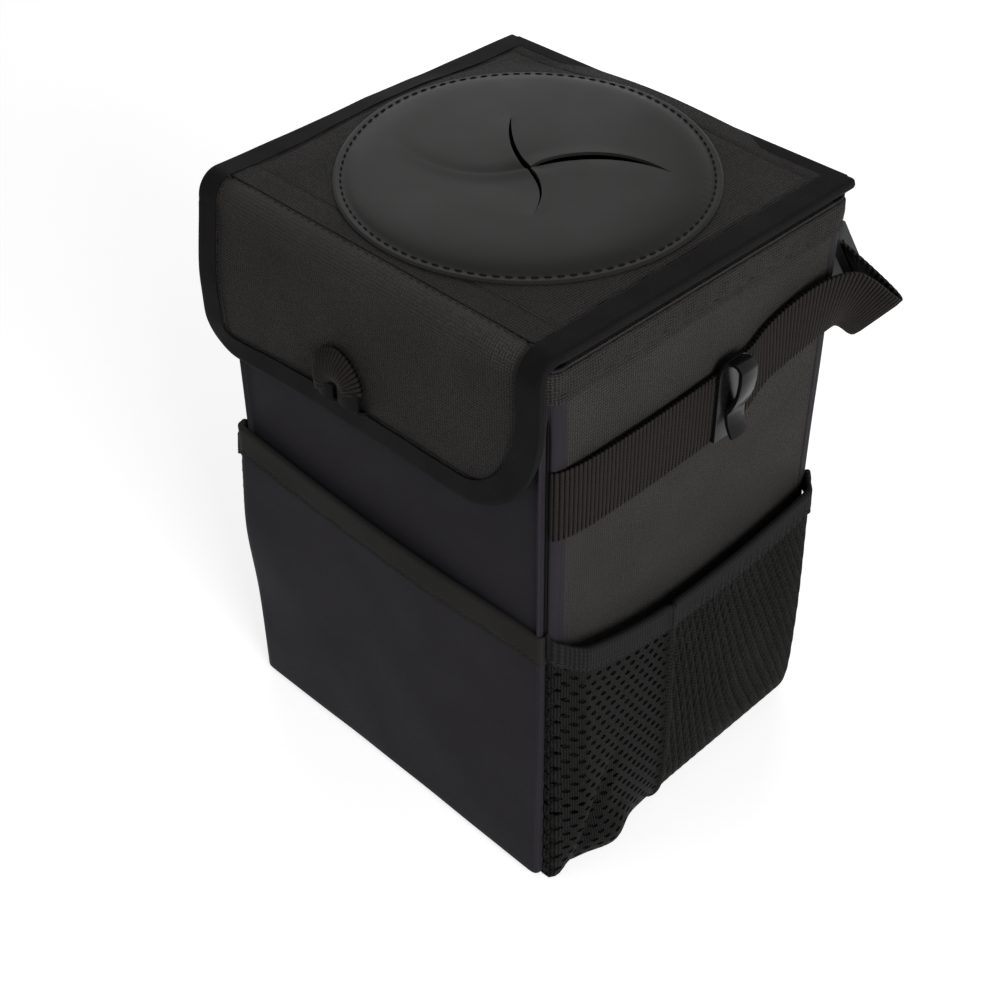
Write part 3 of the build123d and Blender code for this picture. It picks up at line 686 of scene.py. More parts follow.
def front_hem_shape(across, up):
    """The band folded over the front pocket's mouth."""
    side = pocket_side(across)
    drop = np.interp(up, hem_shares, [13.2, 0.8, 0.1, -0.2, 0.1, 9.0])
    away = np.interp(up, hem_shares, [0.55, 0.75, 0.6, 0.0, -1.0, -1.35])
    groove = 0.35 * bump(drop, front_row_drop, 0.8) * (1 - smooth(0.4, 0.5, up))
    z = pocket_mouth(side) - drop
    out = pocket_stand(side, z) + away - groove + 0.12 * np.sin(side / 3.1) * bump(drop, 12.5, 2.0)
    return round_the_box(side, out, z), stack((side, tape_cut * up))


pocket_width = 2 * front_pocket_reach
pocket_cut, front_hem_cut = (pocket_width, 138), (pocket_width, tape_cut)
pocket = laid_sheet("front_pocket_cloth", (140, 50), front_pocket_shape, wall_gauge)
sew(pocket, coated, "coated_cloth", "bin", ["front_pocket"], pocket_cut, "stretched", ["front_wall_cloth"])
hem = laid_sheet("front_pocket_hem_cloth", (150, 36), front_hem_shape, tape_gauge, offset=0.0)
hem_fit = (hem_tape, "coated_cloth", "bin", ["front_pocket_hem"])
sew(hem, *hem_fit, front_hem_cut, "folded", ["front_pocket_cloth"])
pocket_line = np.linspace(-front_pocket_reach + 2, front_pocket_reach - 2, 400)
pocket_row_z = pocket_mouth(pocket_line) - front_row_drop
pocket_row_out = pocket_stand(pocket_line, pocket_row_z) + 0.6
pocket_row = outline_row("front_pocket_stitches", pocket_line, pocket_row_out, 9.0, pocket_row_z)
fit(pocket_row, thread, "coated_cloth", "bin")


# Side pockets: open net at the front, the same net gathered close at the back

pocket_front_y, pocket_back_y = -core_y - 0.58 * quarter, core_y + 0.45 * quarter
pocket_run = pocket_back_y - pocket_front_y
gather_y = -17.0
net_across, net_up, net_yarn_width = 5.3, 3.8, 2.5
net_height, mouth_low = 112.0, 112.0
net_cut = (gather_y + 2 - pocket_front_y, net_height)
pleat_pitch = 3.7
foot_cut = 44.0
elastic_height, elastic_cut = 11.0, 20.0


def beside(y, out, z):
    """Points on the right side: y runs along the wall and on round its corners."""
    return round_the_box(side_middle + y, out, z)


def mouth_height(y):
    """Height of a side pocket's mouth: it dips from the front and rises a little at the back."""
    sag = np.where(y < -2, 0.0027, 0.0012) * (y + 2) ** 2
    return mouth_low + sag + 5 * np.exp(-(y - pocket_front_y) / 4.0)


def net_stand(y, z, hand):
    """How far a side pocket stands out: a slack lobe in front, a round belly behind."""
    front = 2.5 + 7.0 * (1 - np.exp(-z / 9)) - 2.6 * smooth(30, 130, z)
    rear = 0.8 + 7.9 * (1 - np.exp(-z / 7.5)) - 2.2 * smooth(50, 130, z)
    share = 1 - smooth(-30, -4, y)
    lobe = 5.5 * bump(y, -47, 10) * bump(z, 6, 13)
    valley = 3.5 * bump(y, 0.34 * z - 67, 3.5) * bump(z, 26, 22)
    fold = 1.2 * bump(y, gather_y, 1.5)
    at_front = smooth(pocket_front_y, pocket_front_y + 13, y)
    at_back = 1 - smooth(66, pocket_back_y, y)
    belly = front * share + rear * (1 - share) + lobe - valley + fold
    at_ends = (1 - at_front) * corner_stand(z, hand) + (1 - at_back) * 0.5
    return at_front * at_back * belly + at_ends - 2.4 * bump(y, pocket_front_y, 1.0)


def gusset_shape(hand, across, up):
    """The tape at a side pocket's foot, from the wall to the net and up behind it."""
    y = pocket_front_y + across * pocket_run
    z = 0.7 + 34 * smooth(0.25, 1.0, up)
    out = 0.2 + (net_stand(y, z, hand) - 1.1) * np.minimum(up / 0.25, 1)
    return beside(y, out, z), stack((y, foot_cut * up))


def net_shape(hand, across, up):
    """The open net at the front of a side pocket."""
    flat_x = np.clip(across, 0, net_cut[0])
    flat_z = np.clip(up, 0, net_height)
    y = pocket_front_y + flat_x
    z = 0.9 + flat_z / net_height * (mouth_height(y) - 6)
    return beside(y, net_stand(y, z, hand), z), stack((flat_x, flat_z))


def gathers_shape(hand, across, up):
    """The gathered net: close standing folds that fan out towards the lower back."""
    y = gather_y - 2.5 + across * (pocket_back_y - gather_y + 2.5)
    top = mouth_height(y) - 5
    z = 0.9 + up * (top - 1)
    drop = top - z
    loose = smooth(gather_y, gather_y + 5, y) * (1 - smooth(48, pocket_back_y - 1, y))
    fanned = y - drop * (0.2 + 0.2 * smooth(gather_y, 70, y))
    phase = math.pi * fanned / pleat_pitch + 0.45 * np.sin(z / 17) + 0.6 * np.sin(y / 11)
    fold = 2 * np.abs(np.cos(phase)) ** 0.8 - 1.2
    loose = loose * (0.45 + 0.55 * smooth(0, 14, drop)) * smooth(0, 0.2, up)
    out = net_stand(y, z, hand) + 0.5 + 0.8 * loose * fold
    out = out - 1.3 * (1 - smooth(gather_y - 2.5, gather_y - 0.5, y))
    return beside(y, out, z), stack((1.3 * (y - gather_y), net_height * up))


def elastic_shape(hand, across, up):
    """The elastic folded over a side pocket's mouth."""
    y = pocket_front_y + across * pocket_run
    drop = np.interp(up, hem_shares, [elastic_height, 0.8, 0.1, -0.2, 0.1, 8.0])
    away = np.interp(up, hem_shares, [1.5, 1.5, 1.2, 0.4, -0.6, -0.9])
    groove = 0.3 * bump(drop, elastic_height - 1.6, 0.8) * (1 - smooth(0.4, 0.5, up))
    z = mouth_height(y) - drop
    pucker = 0.3 * np.sin(y * 2 * math.pi / pleat_pitch) * smooth(gather_y, 0, y) * smooth(3, 10, drop)
    out = net_stand(y, z, hand) + away - groove + pucker
    return beside(y, out, z), stack((y, elastic_cut * up))


net_area = 0.8 * net_cut[0] * net_height * MM**2
gathers_cut = (1.25 * (pocket_back_y - gather_y), net_height)
elastic_y = np.linspace(pocket_front_y + 1, pocket_back_y - 1, 300)
elastic_row_z = mouth_height(elastic_y) - elastic_height + 1.6
pocket_parts = (
    ("gathers", (210, 70), gathers_shape, tape_gauge),
    ("gusset", (120, 30), gusset_shape, tape_gauge),
    ("elastic", (220, 30), elastic_shape, thin_gauge),
)
for side, hand in (("right", 1), ("left", -1)):
    net = net_sheet(f"{side}_pocket_net", net_cut, partial(net_shape, hand), cloth_gauge)
    gathers, foot, band = [
        laid_sheet(f"{side}_pocket_{part}", steps, partial(shape, hand), thickness, offset=0.0)
        for part, steps, shape, thickness in pocket_parts
    ]
    stand = net_stand(elastic_y, elastic_row_z, hand)
    row_place = (side_middle + elastic_y, stand + 1.6, stand + 3, elastic_row_z)
    row = outline_row(f"{side}_elastic_stitches", *row_place, pitch=2.6, length=1.9)
    if side == "left":
        for piece in (net, gathers, foot, band, row):
            mirror(piece)
    fit(row, thread, "elastic", "bin")
    mesh_fit = ("mesh_cloth", "bin", [f"{side}_pocket"])
    behind = [f"{side}_wall_cloth"]
    sew(net, net_yarn, *mesh_fit, net_cut, "stretched", [band], area=net_area, with_pieces=[band])
    sew(gathers, net_cloth, *mesh_fit, gathers_cut, "gathered", [band])
    elastic_fit = ("elastic", "bin", [f"{side}_pocket_hem"])
    sew(band, elastic, *elastic_fit, (pocket_run, elastic_cut), "stretched", behind)
    sew(foot, net_yarn, *mesh_fit, (pocket_run, foot_cut), "stretched", behind)


# Straps, clips and buckle

strap_width = 29.0
# The webbing lies between 1.5 mm above the clip's foot and 42 mm under the rim
strap_middle_z = (box_mm("right_clip")[0][2] + 1.5 + hem_high - 42.0) / 2


def strap_shape(stations, lengths, across, up):
    """A ribbed strap through stations: middle points and the ways across its width."""
    along = across * lengths[-1]
    points, way = np.split(read_line(along, lengths, stations), 2, axis=1)
    near = [read_line(along + step, lengths, stations[:, :3]) for step in (-0.4, 0.4)]
    face = np.cross(near[1] - near[0], way)
    face = face / np.linalg.norm(face, axis=1)[:, None]
    ribs = 0.35 * np.cos(2 * math.pi * along / rib_pitch) * (1 - smooth(0.43, 0.5, np.abs(up - 0.5)))
    points = points + (up[:, None] - 0.5) * way + ribs[:, None] * face
    return points, stack((along + rib_pitch / 2, strap_width * up))


def eased(stations, rounds=3):
    """Cuts the corners off a line, so that the strap bends softly."""
    stations = np.array(stations, float)
    for _ in range(rounds):
        middle = np.empty((2 * len(stations) - 2, stations.shape[1]))
        middle[0::2] = 0.75 * stations[:-1] + 0.25 * stations[1:]
        middle[1::2] = 0.25 * stations[:-1] + 0.75 * stations[1:]
        stations = np.vstack((stations[:1], middle, stations[-1:]))
    return stations


socket_low, socket_high = box_mm("buckle_socket")
socket_x = socket_high[0]
plug_x = box_mm("buckle_plug")[0][0]
buckle_y, buckle_z = ((socket_low + socket_high) / 2)[1:]
lean = math.radians(33)
strap_x = half_x + 2.6
level_up = (0, 0, strap_width)
leaning_up = (0, -strap_width * math.sin(lean), strap_width * math.cos(lean))
half_lean = (0, -strap_width * math.sin(lean / 2), strap_width * math.cos(lean / 2))
side_stations = [
    (half_x - 1.0, -75.0, strap_middle_z + 1.0, *level_up),
    (half_x + 1.0, -72.0, strap_middle_z + 0.8, *level_up),
    (strap_x, -58, strap_middle_z + 0.2, *level_up),
    (strap_x, -20, strap_middle_z, *level_up),
    (strap_x, 21, strap_middle_z + 2.0, *level_up),
    (strap_x, 31, strap_middle_z + 10.0, 0, -3.0, 25.0),
    (strap_x, 43, strap_middle_z + 12.8, 0, -2.0, 26.0),
    (strap_x + 0.8, 60, strap_middle_z + 15.2, 2.0, -1.0, 28.0),
]
# Behind the right corner the webbing stands off, folds over slantwise and goes back into the buckle
right_stations = side_stations + [
    (strap_x + 2.5, 73, strap_middle_z + 15.5, 7.0, 0, 27.5),
    (strap_x + 3.5, 81, strap_middle_z + 11.0, 12.0, 2, 24.0),
    (92.5, 94.0, 186.5, 17, 4, 21),
    (91.5, 97.0, 188.0, 15, 1, 22),
    (socket_x + 3, buckle_y + 2.5, buckle_z - 3, *leaning_up),
    (socket_x - 1, buckle_y, buckle_z, *leaning_up),
    (socket_x - 7, buckle_y, buckle_z, *leaning_up),
]
left_stations = [(-x, y, z, -a, b, c) for x, y, z, a, b, c in side_stations] + [
    (-half_x, half_y + 9, strap_middle_z + 14, 2, -2, strap_width - 0.5),
    (-60, buckle_y - 1, buckle_z + 0.4, *half_lean),
    (plug_x + 1, buckle_y, buckle_z, *leaning_up),
    (plug_x + 7, buckle_y, buckle_z, *leaning_up),
]
for node, stations in (("right_strap", right_stations), ("left_strap", left_stations)):
    bends = eased(stations)
    lengths = line_lengths(bends[:, :3])
    shape = partial(strap_shape, bends, lengths)
    strap = laid_sheet(f"{node}_webbing", (1000, 8), shape, webbing_gauge, offset=0.0)
    sew(strap, webbing, "webbing", "bin", [node], (lengths[-1], strap_width), "stretched", ["buckle_socket"])

clip_share = 0.85
for side in ("right", "left"):
    clip = softened(f"{side}_clip", f"{side}_bag_clip", edge=0.35)
    clip_low, clip_high = box_mm(f"{side}_clip")
    # The moulding is slimmer than the block that stands for it: it shrinks towards its back edge
    hold = Matrix.Translation(Vector((0, clip_high[1], (clip_low[2] + clip_high[2]) / 2)) * MM)
    clip.data.transform(hold @ Matrix.Diagonal((1, clip_share, clip_share, 1)) @ hold.inverted())
    fit(clip, nylon, "clip_plastic", f"{side}_clip", f"{side}_clip")
for part in ("socket", "plug"):
    moulding = softened(f"buckle_{part}", f"{part}_moulding", edge=0.5, frame_width=2.4)
    fit(moulding, acetal, "buckle_plastic", "bin", f"buckle_{part}")


# Lid: cloth, lining, disc and edge tape


def crown(x, y):
    """Rise of the soft lid under the disc, highest at the back left."""
    toward = (y - lid_middle_y - x) / math.sqrt(2) / disc_radius
    reach = np.hypot(x, y - lid_middle_y)
    return 3.4 * smooth(-0.3, 1.0, toward) * (1 - smooth(disc_radius - 2, disc_radius + 22, reach))


def ring_shape(front_y, back_y, half_width, z, puff, seed, across, up):
    """Flat cloth from a round hole's edge out to a rectangle."""
    turn = 2 * math.pi * across
    side, ahead = np.cos(turn), np.sin(turn)
    reach_y = np.where(ahead < 0, lid_middle_y - front_y, back_y - lid_middle_y)
    to_side = half_width / np.maximum(np.abs(side), 1e-6)
    to_end = reach_y / np.maximum(np.abs(ahead), 1e-6)
    reach = hole_radius + up * (np.minimum(to_side, to_end) - hole_radius)
    x, y = reach * side, lid_middle_y + reach * ahead
    edge = np.minimum(half_width - np.abs(x), np.minimum(y - front_y, back_y - y))
    swell = puff * smooth(tape_width, 24, edge) * (0.6 + 0.4 * ripple(x, y, 50, seed))
    swell = swell - 1.2 * puff * bump(edge, tape_width + 0.5, 0.9)
    return stack((x, y, z + swell + 2 * puff * crown(x, y))), stack((x, y))


lid_cut = (2 * lid_half_x, lid_back_y - seam_y)
lid_area = (lid_cut[0] * lid_cut[1] - math.pi * hole_radius**2) * MM**2
lid_sheet = (lid_cut, "stretched", ["lid_board"])
lid_cloth_shape = partial(ring_shape, seam_y, lid_back_y, lid_half_x, lid_face - 0.1, 0.5, 6.0)
lid_cloth = laid_sheet("lid_cloth", (288, 26), lid_cloth_shape, cloth_gauge, closed=True)
sew(lid_cloth, oxford, "oxford_cloth", "lid", ["lid_cover"], *lid_sheet, area=lid_area)
lining_place = (lining_low[1] + 6, lid_back_y - 4, lid_half_x - 6, lining_low[2] + 0.1)
lining_shape = partial(ring_shape, *lining_place, 0.0, 2.0)
lid_lining = laid_sheet("lid_lining_cloth", (288, 20), lining_shape, thin_gauge, offset=1.0, closed=True)
sew(lid_lining, lining, "lining_cloth", "lid", ["lid_lining"], *lid_sheet, area=lid_area)

# Slits of the disc in turn round it: the way to each tip, how far its two lips stand apart in height, its
# length, how far its line turns on the way in to the middle, how wide it gapes, and whether it is widest
# half-way along or at the middle
slits = [
    (38.0, 1.0, 50.0, 0.77, 4.0, True),
    (145.0, 1.0, 33.0, 0.30, 3.0, False),
    (206.0, 1.2, 50.0, 0.95, 0.4, False),
    (317.0, 1.0, 33.0, 0.43, 1.4, False),
]


def slit_line(slit, reach):
    """A slit's direction in radians, half its gape and its step, at a distance from the middle."""
    tip, step, length, curl, gape, crescent = slit
    along = np.clip(reach / length, 0, 1)
    opened = 4 * along * (1 - along) if crescent else (1 - along) ** 0.7
    return math.radians(tip) + curl * (1 - along), 0.5 * gape * opened, step * (1 - along) ** 0.6


def disc_height(reach):
    """The disc's height above the lid: a low cushion, steep at its edge, in a flat border."""
    share = np.clip(reach / dome_radius, 0, 1)
    dome = 1.6 + 1.2 * (1 - share**2) + 2.4 * (1 - share**14)
    border = 1.8 - 0.5 * smooth(disc_radius - 1.0, disc_radius, reach)
    return dome + (border - dome) * smooth(dome_radius - 0.3, dome_radius + 0.7, reach)


def disc_spread(turn):
    """The disc's stretch from its front right to its back left."""
    return 0.05 * np.cos(turn - 0.75 * math.pi) ** 2


def petal_shape(first, second, across, up):
    """A petal between two slits, with its border."""
    reach = np.interp(up, [0, 0.8, 0.84, 1], [1.2, dome_radius - 1, dome_radius + 1, disc_radius])
    start, start_gap, start_step = slit_line(first, reach)
    end, end_gap, end_step = slit_line(second, reach)
    end = np.where(end < start, end + 2 * math.pi, end)
    turn = start + start_gap / reach + across * (end - start - (start_gap + end_gap) / reach)
    lip = bump((turn - start) * reach, 0, 5) * start_step
    droop = bump((end - turn) * reach, 0, 5) * end_step
    phase = 2 * math.pi * turn * dome_radius / disc_pitch
    pucker = 0.06 * np.sin(phase) * bump(reach, dome_radius - 2, 1.6)
    z = lid_face + disc_height(reach) + 0.5 * lip - 0.7 * droop + pucker
    spread = 1 + disc_spread(turn) * smooth(40, dome_radius, reach)
    drift = 2.6 * (1 - smooth(5, 58, reach))
    x = reach * np.cos(turn) * spread + drift
    y = lid_middle_y + reach * np.sin(turn) * spread - drift
    return stack((x, y, z + crown(x, y))), stack((x, y))


slit_pairs = zip(slits, slits[1:] + slits[:1])
petals = [laid_grid((72, 48), partial(petal_shape, *pair)) for pair in slit_pairs]
disc = petals[0]
for petal in petals:
    petal.select_set(True)
bpy.context.view_layer.objects.active = disc
bpy.ops.object.join()
disc.name = "slit_disc_sheet"
merge_doubles(disc)
fit(thicken(disc, disc_gauge, 1.0), soft_pvc, "disc_rubber", "lid", "slit_disc")
ring = np.linspace(0, 2 * math.pi, 400)
ring_reach = (dome_radius + 0.2) * (1 + disc_spread(ring))
ring_x, ring_y = ring_reach * np.cos(ring), lid_middle_y + ring_reach * np.sin(ring)
ring_path = stack((ring_x, ring_y, lid_face + 1.9 + crown(ring_x, ring_y)))
ring_gauge = {"pitch": disc_pitch, "length": 3.0, "thick": 0.8}
# Near-black stitches round the disc: real stitches, with painted shade of the crease they are sunk into.
disc_row = stitch_row("disc_stitches", ring_path, np.tile((0.0, 0, 1), (400, 1)), **ring_gauge)
fit(disc_row, painted_shade_thread, "disc_rubber", "lid")

fold_bend = math.pi / 2 * fold_radius
fold_y, fold_foot = flap_face + fold_radius, lid_face - fold_radius
flap_run_end = fold_bend + fold_foot - flap_bottom
flap_run_start = fold_y - seam_y


def fold_place(run):
    """Place and outward way, as (y, z), along the lid, over the fold and down the flap."""
    turn = np.clip(run / fold_radius, 0, math.pi / 2)
    y = fold_y - np.minimum(run, 0) - fold_radius * np.sin(turn)
    z = fold_foot + fold_radius * np.cos(turn) - np.maximum(run - fold_bend, 0)
    return y, z, -np.sin(turn), np.cos(turn)


# The flap's edge from the right end of its fold down, along the bottom and up to the left end, as (x, z):
# its right lower corner is cut with a long sweep, its left one is tight
quarter_turn = np.linspace(0, math.pi / 2, 60)
from_cos, from_sin = 1 - np.cos(quarter_turn), 1 - np.sin(quarter_turn)
right_sweep, left_sweep = (38.0, 50.0), (15.0, 15.0)
right_edge = stack((lid_edge - right_sweep[0] * from_cos, flap_bottom + right_sweep[1] * from_sin))
left_edge = stack((-lid_edge + left_sweep[0] * from_sin, flap_bottom + left_sweep[1] * from_cos))
flap_edge = np.vstack(([lid_edge, fold_foot], right_edge, left_edge, [-lid_edge, fold_foot]))
edge_steps = np.diff(flap_edge, axis=0)
edge_reach = line_lengths(flap_edge)
edge_middles = (edge_reach[1:] + edge_reach[:-1]) / 2
edge_inward = stack((edge_steps[:, 1], -edge_steps[:, 0])) / np.diff(edge_reach)[:, None]


def flap_sides(z, inset):
    """The flap's right and left x at a height, `inset` mm in from its edge."""
    right = np.interp(z, right_edge[::-1, 1], right_edge[::-1, 0]) - inset
    left = np.interp(z, left_edge[:, 1], left_edge[:, 0]) + inset
    return right, left


def flare(x, z):
    """How far the flap's slack left side stands off the bin."""
    return 4.4 * smooth(25, 88, -x) * (1 - smooth(208, 246, z)) * (1 - 0.4 * (1 - smooth(178, 196, z)))


def flap_cloth_shape(across, up):
    """The flap's cloth: from the lid's seam over a soft fold and down, a little puffed."""
    run = flap_run_start + up * (flap_run_end - 1.2 - flap_run_start)
    y, z, ny, nz = fold_place(run)
    right, left = flap_sides(z, 1.0)
    x = left + across * (right - left)
    edge = np.minimum(np.minimum(right - x, x - left), z - flap_bottom)
    swell = 0.7 * (0.7 + 0.3 * ripple(x, run, 55, 1.5)) * smooth(-2, 6, run) + 0.9 * bump(run, 9, 7)
    puff = swell * smooth(tape_width, 24, edge) - 0.6 * bump(edge, tape_width + 0.5, 0.9)
    puff = puff + 0.5 * bump(run, 4, 3) * smooth(0, 6, edge) - 0.5 * bump(run, flap_run_start, 0.9)
    return stack((x, y - flare(x, z) + puff * ny, z + puff * nz)), stack((x, -run))


# The flap's board is hidden between its cloth and its lining, so the cloth stands for it too
flap_cloth = laid_sheet("flap_cloth", (120, 76), flap_cloth_shape, cloth_gauge, offset=1.0)
flap_fit = (fold_highlight_oxford, "oxford_cloth", None, ["flap_cover", "flap_board"])
flap_cut = (2 * lid_edge, flap_run_end - flap_run_start)
sew(flap_cloth, *flap_fit, flap_cut, "hung", ["lid_cloth", "flap_board"])
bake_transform(flap_cloth)


def flap_lining_shape(across, up):
    """The lining on the flap's inner face."""
    z = flap_lining_high[2] - 8 - up * (flap_lining_high[2] - 14 - flap_bottom)
    right, left = flap_sides(z, 7.0)
    x = left + across * (right - left)
    y = flap_lining_high[1] - 0.1 - flare(x, z) - 0.15 * (1 + ripple(x, z, 60, 2.5))
    return stack((x, y, z)), stack((x, z))


flap_lining = laid_sheet("flap_lining_cloth", (100, 60), flap_lining_shape, tape_gauge, offset=1.0)
flap_lining_cut = (2 * lid_edge, flap_lining_high[2] - 8 - flap_bottom)
flap_lining_fit = (lining, "lining_cloth", "flap", ["flap_lining"])
sew(flap_lining, *flap_lining_fit, flap_lining_cut, "stretched", ["flap_board"])

# Edge tape: one length along the right of the lid, round the flap and back along the left
side_run_start = fold_y - lid_back_y
tape_side = fold_bend - side_run_start
tape_length = 2 * tape_side + edge_reach[-1]


def tape_shape(across, up):
    """The tape round the edge: its outer half, the bend and its inner half."""
    along = across * tape_length
    from_back = np.minimum(along, tape_length - along)
    run = np.minimum(side_run_start + from_back, fold_bend)
    y, z, ny, nz = fold_place(run)
    place = np.clip(along - tape_side, 0, edge_reach[-1])
    edge_x, edge_drop = read_line(place, edge_reach, flap_edge).T
    inward_x, inward_z = read_line(place, edge_middles, edge_inward).T
    share = [0, 0.42, 0.47, 0.5, 0.53, 0.58, 1]
    inset = np.interp(up, share, [tape_width, 1.0, 0.25, 0.0, 0.25, 1.0, tape_width])
    rise = np.interp(up, share, [0.35, 0.35, 0.0, -1.2, -2.3, -2.9, -4.1])
    rise = rise + (0.4 * bump(run, 4, 4) + 0.1 * np.sin(along / 3.7)) * (1 - smooth(0.4, 0.5, up))
    thin = 1 - 0.45 * bump(run, 0.5 * fold_bend, 7)
    rise = np.where(rise < 0, rise * thin, rise)
    x = edge_x + inset * inward_x
    z = z + edge_drop - fold_foot + inset * inward_z + rise * nz
    on_flap = smooth(0, 2, place) * smooth(0, 2, edge_reach[-1] - place)
    y = y + rise * ny - flare(x, z) * on_flap
    z = z + crown(x, y) * (1 - smooth(0.42, 0.5, up))
    return stack((x, y, z)), stack((along, tape_cut * up))


edge_tape = laid_sheet("edge_binding_tape", (500, 24), tape_shape, tape_gauge, offset=1.0)
edge_fit = (binding, "binding_tape", None, ["flap_binding", "right_lid_binding", "left_lid_binding"])
sew(edge_tape, *edge_fit, (tape_length, tape_cut), "folded", ["lid_cloth", "flap_cloth"])
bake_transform(edge_tape)

hinge_half_x = lid_edge - 4


def hinge_shape(across, up):
    """The cloth hinge: from the rim's hem up and over the lid's back edge."""
    x = (2 * across - 1) * hinge_half_x
    share = [0, 0.6, 0.72, 0.8, 1]
    y = np.interp(up, share, [78.1, 78.1, 77.9, 77.2, 72.0])
    z = np.interp(up, share, [hem_low + 2, lid_face - 0.6, lid_face + 0.35, lid_face + 0.55, lid_face + 0.5])
    return stack((x, y, z)), stack((x, 26 * up))


hinge = laid_sheet("hinge_cloth", (60, 30), hinge_shape, tape_gauge, offset=0.0)
hinge_cut = (2 * hinge_half_x, tape_cut)
sew(hinge, binding, "binding_tape", None, [], hinge_cut, "folded", ["rim_hem_cloth", "lid_cloth"])
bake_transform(hinge)

seam_x = np.linspace(-lid_half_x + 8, lid_half_x - 8, 200)
seam_path = stack((seam_x, np.full(200, seam_y - 1.4), np.full(200, lid_face + 0.75)))
seam_facing = np.tile((0.0, 0, 1), (200, 1))
seam_row = stitch_row("lid_seam_stitches", seam_path, seam_facing, pitch=3.6, length=2.6)
fit(seam_row, thread, "oxford_cloth", "lid")


# Pull tab and patches

tab_low, tab_high = box_mm("pull_tab")
tab_x, tab_z = tab_low[0] + 13.0, tab_high[2] - 15.5
tab_inner, tab_wide, tab_tall = 3.2, 13.0, 16.0
tab_stand = 3.6
tab_sweep, tab_lean = math.radians(190), math.radians(14)


def tab_arch_shape(across, up):
    """The pull tab's arch: webbing bent on its flat, standing off and leaning left."""
    turn = (across - 0.5) * tab_sweep - tab_lean
    x = tab_x + (tab_inner + up * (tab_wide - tab_inner)) * np.sin(turn)
    z = tab_z + (tab_inner + up * (tab_tall - tab_inner)) * np.cos(turn)
    along = 0.95 * tab_tall * (turn + 4)
    ribs = 0.3 * np.cos(2 * math.pi * along / rib_pitch) * smooth(0, 0.3, up)
    y = flap_edge_low[1] - tab_stand - 1.2 * np.sin(math.pi * up) + 2.0 * up**3 - ribs
    return stack((x, y, z)), stack((along + rib_pitch / 2, 12 * up))


def tab_leg_shape(near, far, top, across, up):
    """A leg of the pull tab, from the arch down to the flap's edge tape."""
    x = tab_x + near + (far - near) * across
    z = flap_bottom + tape_width - 0.5 + up * (top - flap_bottom - tape_width + 0.5)
    y = flap_edge_low[1] - 0.1 - (tab_stand + 0.6) * smooth(0.0, 0.3, up) + 0.8 * (2 * across - 1) ** 2
    return stack((x, y, z)), stack((z, 11 * across))


tab = laid_sheet("pull_tab_webbing", (200, 8), tab_arch_shape, webbing_gauge, offset=0.0)
tab_legs = []
for side, near, far, top in (("right", 1.8, 12.0, tab_z + 3.0), ("left", -8.5, -1.2, tab_z + 1.0)):
    leg_shape = partial(tab_leg_shape, near, far, top)
    leg = laid_sheet(f"pull_tab_{side}_leg", (12, 14), leg_shape, 1.0, offset=0.0)
    tab_legs.append(fit(leg, binding, "binding_tape", "flap", "pull_tab"))
tab_fit = (webbing, "webbing", "flap", ["pull_tab"])
tab_cut = (0.5 * (tab_wide + tab_tall) * tab_sweep, tab_tall - tab_inner)
sew(tab, *tab_fit, tab_cut, "folded", ["flap_cloth"], with_pieces=tab_legs)


def patch_shape(low, high, face_y, across, up):
    """A hook or loop patch with rounded corners."""
    middle, half = (low + high) / 2, (high - low) / 2
    a, b = 2 * across - 1, 2 * up - 1
    x = middle[0] + half[0] * a * np.sqrt(1 - 0.06 * b**8)
    z = middle[2] + half[2] * b * np.sqrt(1 - 0.12 * a**8)
    return stack((x, np.full_like(x, face_y), z)), stack((x, z))


# The hooks face back on the flap, the loops face forward on the bin
for node, body, forward in (("hook_patch", "flap", False), ("loop_patch", "bin", True)):
    low, high = box_mm(node)
    wide, deep, tall = high - low
    shape = partial(patch_shape, low, high, low[1] if forward else high[1])
    patch = laid_sheet(f"{node}_tape", (40, 16), shape, deep, offset=-1.0 if forward else 1.0)
    sew(patch, bristle, "hook_loop", body, [node], (wide, tall), "laid", ["front_wall_cloth"])

# CAD nodes that stay: the stiffeners inside the walls and the lid
for node in ("front_board", "back_board", "right_board", "left_board", "base_board", "lid_board"):
    cover(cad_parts[node], board)


# Stage, light and camera

white, black = (1, 1, 1, 1), (0, 0, 0, 1)


def seen_rays(tree):
    """1 for rays that the eye sees, direct or by gloss or clear pieces, 0 for light on the bin."""
    add = partial(add_node, tree)
    rays = add("LightPath").outputs
    seen = rays["Is Camera Ray"]
    for kind in ("Is Glossy Ray", "Is Transmission Ray"):
        seen = add("Math", {0: seen, 1: rays[kind]}, operation="MAXIMUM").outputs[0]
    return seen


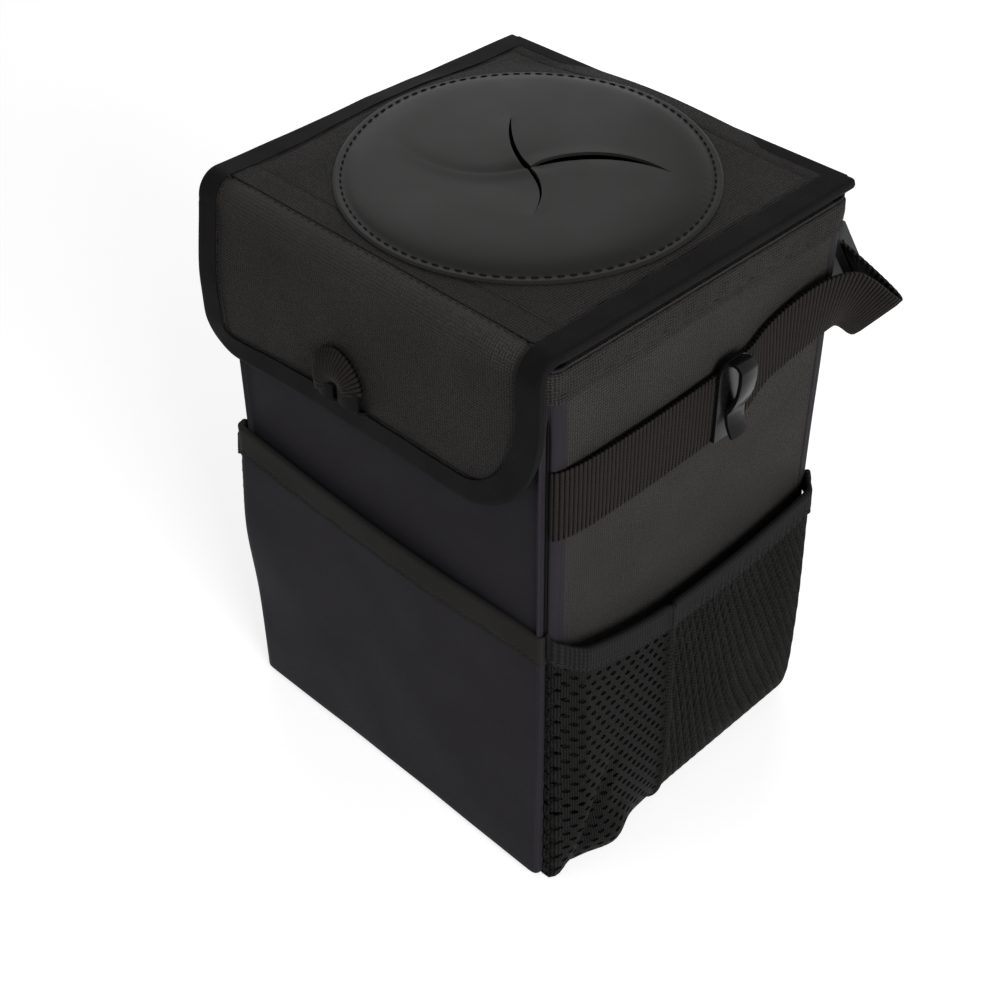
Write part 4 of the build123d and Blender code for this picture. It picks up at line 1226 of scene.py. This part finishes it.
def pale_floor():
    """A floor that keeps the bin's shadow and looks white to the camera."""
    bpy.ops.mesh.primitive_plane_add(size=12, location=(0, 0, -0.0004))
    floor = bpy.context.object
    floor.name = "floor"
    material = bpy.data.materials.new("white_floor")
    tree = blank_tree(material)
    add = partial(add_node, tree)
    paint = add("BsdfDiffuse", {"Color": colour("#d8d8d8")})
    glow = add("Emission", {"Color": white, "Strength": 0.63})
    nothing = add("Emission", {"Color": black, "Strength": 0.0})
    lit = add("MixShader", {0: seen_rays(tree), 1: nothing, 2: glow})
    both = add("AddShader", {0: paint, 1: lit})
    add("OutputMaterial", {"Surface": both})
    floor.data.materials.append(material)


pale_floor()

world = bpy.data.worlds.new("studio")
bpy.context.scene.world = world
sky = blank_tree(world)
soft_sky = add_node(sky, "Background", {"Color": white, "Strength": 0.18})
white_sky = add_node(sky, "Background", {"Color": white, "Strength": 1.0})
sky_mix = add_node(sky, "MixShader", {0: seen_rays(sky), 1: soft_sky, 2: white_sky})
add_node(sky, "OutputWorld", {"Surface": sky_mix})


def softbox(name, place, target, size, watts):
    """A square area lamp that looks at a target."""
    bpy.ops.object.light_add(type="AREA", location=place)
    lamp = bpy.context.object
    lamp.name = name
    lamp.data.shape = "SQUARE"
    lamp.data.size = size
    lamp.data.energy = watts
    lamp.rotation_euler = (Vector(target) - Vector(place)).to_track_quat("-Z", "Y").to_euler()
    return lamp


softbox("key_softbox", (1.25, -0.4, 0.57), (0, 0, 0.12), 0.7, 17)
softbox("back_softbox", (-0.7, 0.5, 0.9), (0, 0, 0.25), 0.7, 2.0)
softbox("front_softbox", (-0.45, -0.8, 1.2), (0, 0, 0.15), 0.8, 2.5)
# The rear lamp lights the back, and is kept out of the reflections on the lid
rear = softbox("rear_softbox", (-0.7, 1.2, 0.18), (0, 0, 0.12), 0.34, 7)
rear.visible_glossy = False

# Camera found from the photograph's vanishing lines and the bin's corners
camera_eye = Vector((0.3716, -0.3839, 0.5480))
camera_ahead = Vector((-0.5439, 0.5388, -0.6433)).normalized()
camera_side = camera_ahead.cross(Vector((-0.4508, 0.459, 0.7656))).normalized()
camera_turn = Matrix((camera_side, camera_side.cross(camera_ahead), -camera_ahead)).transposed()
bpy.ops.object.camera_add(location=camera_eye)
camera = bpy.context.object
camera.data.sensor_width = 36.0
camera.data.lens = 61.04
camera.matrix_world = Matrix.Translation(camera_eye) @ camera_turn.to_4x4()
bpy.context.scene.camera = camera
bpy.context.scene.view_settings.view_transform = "Standard"
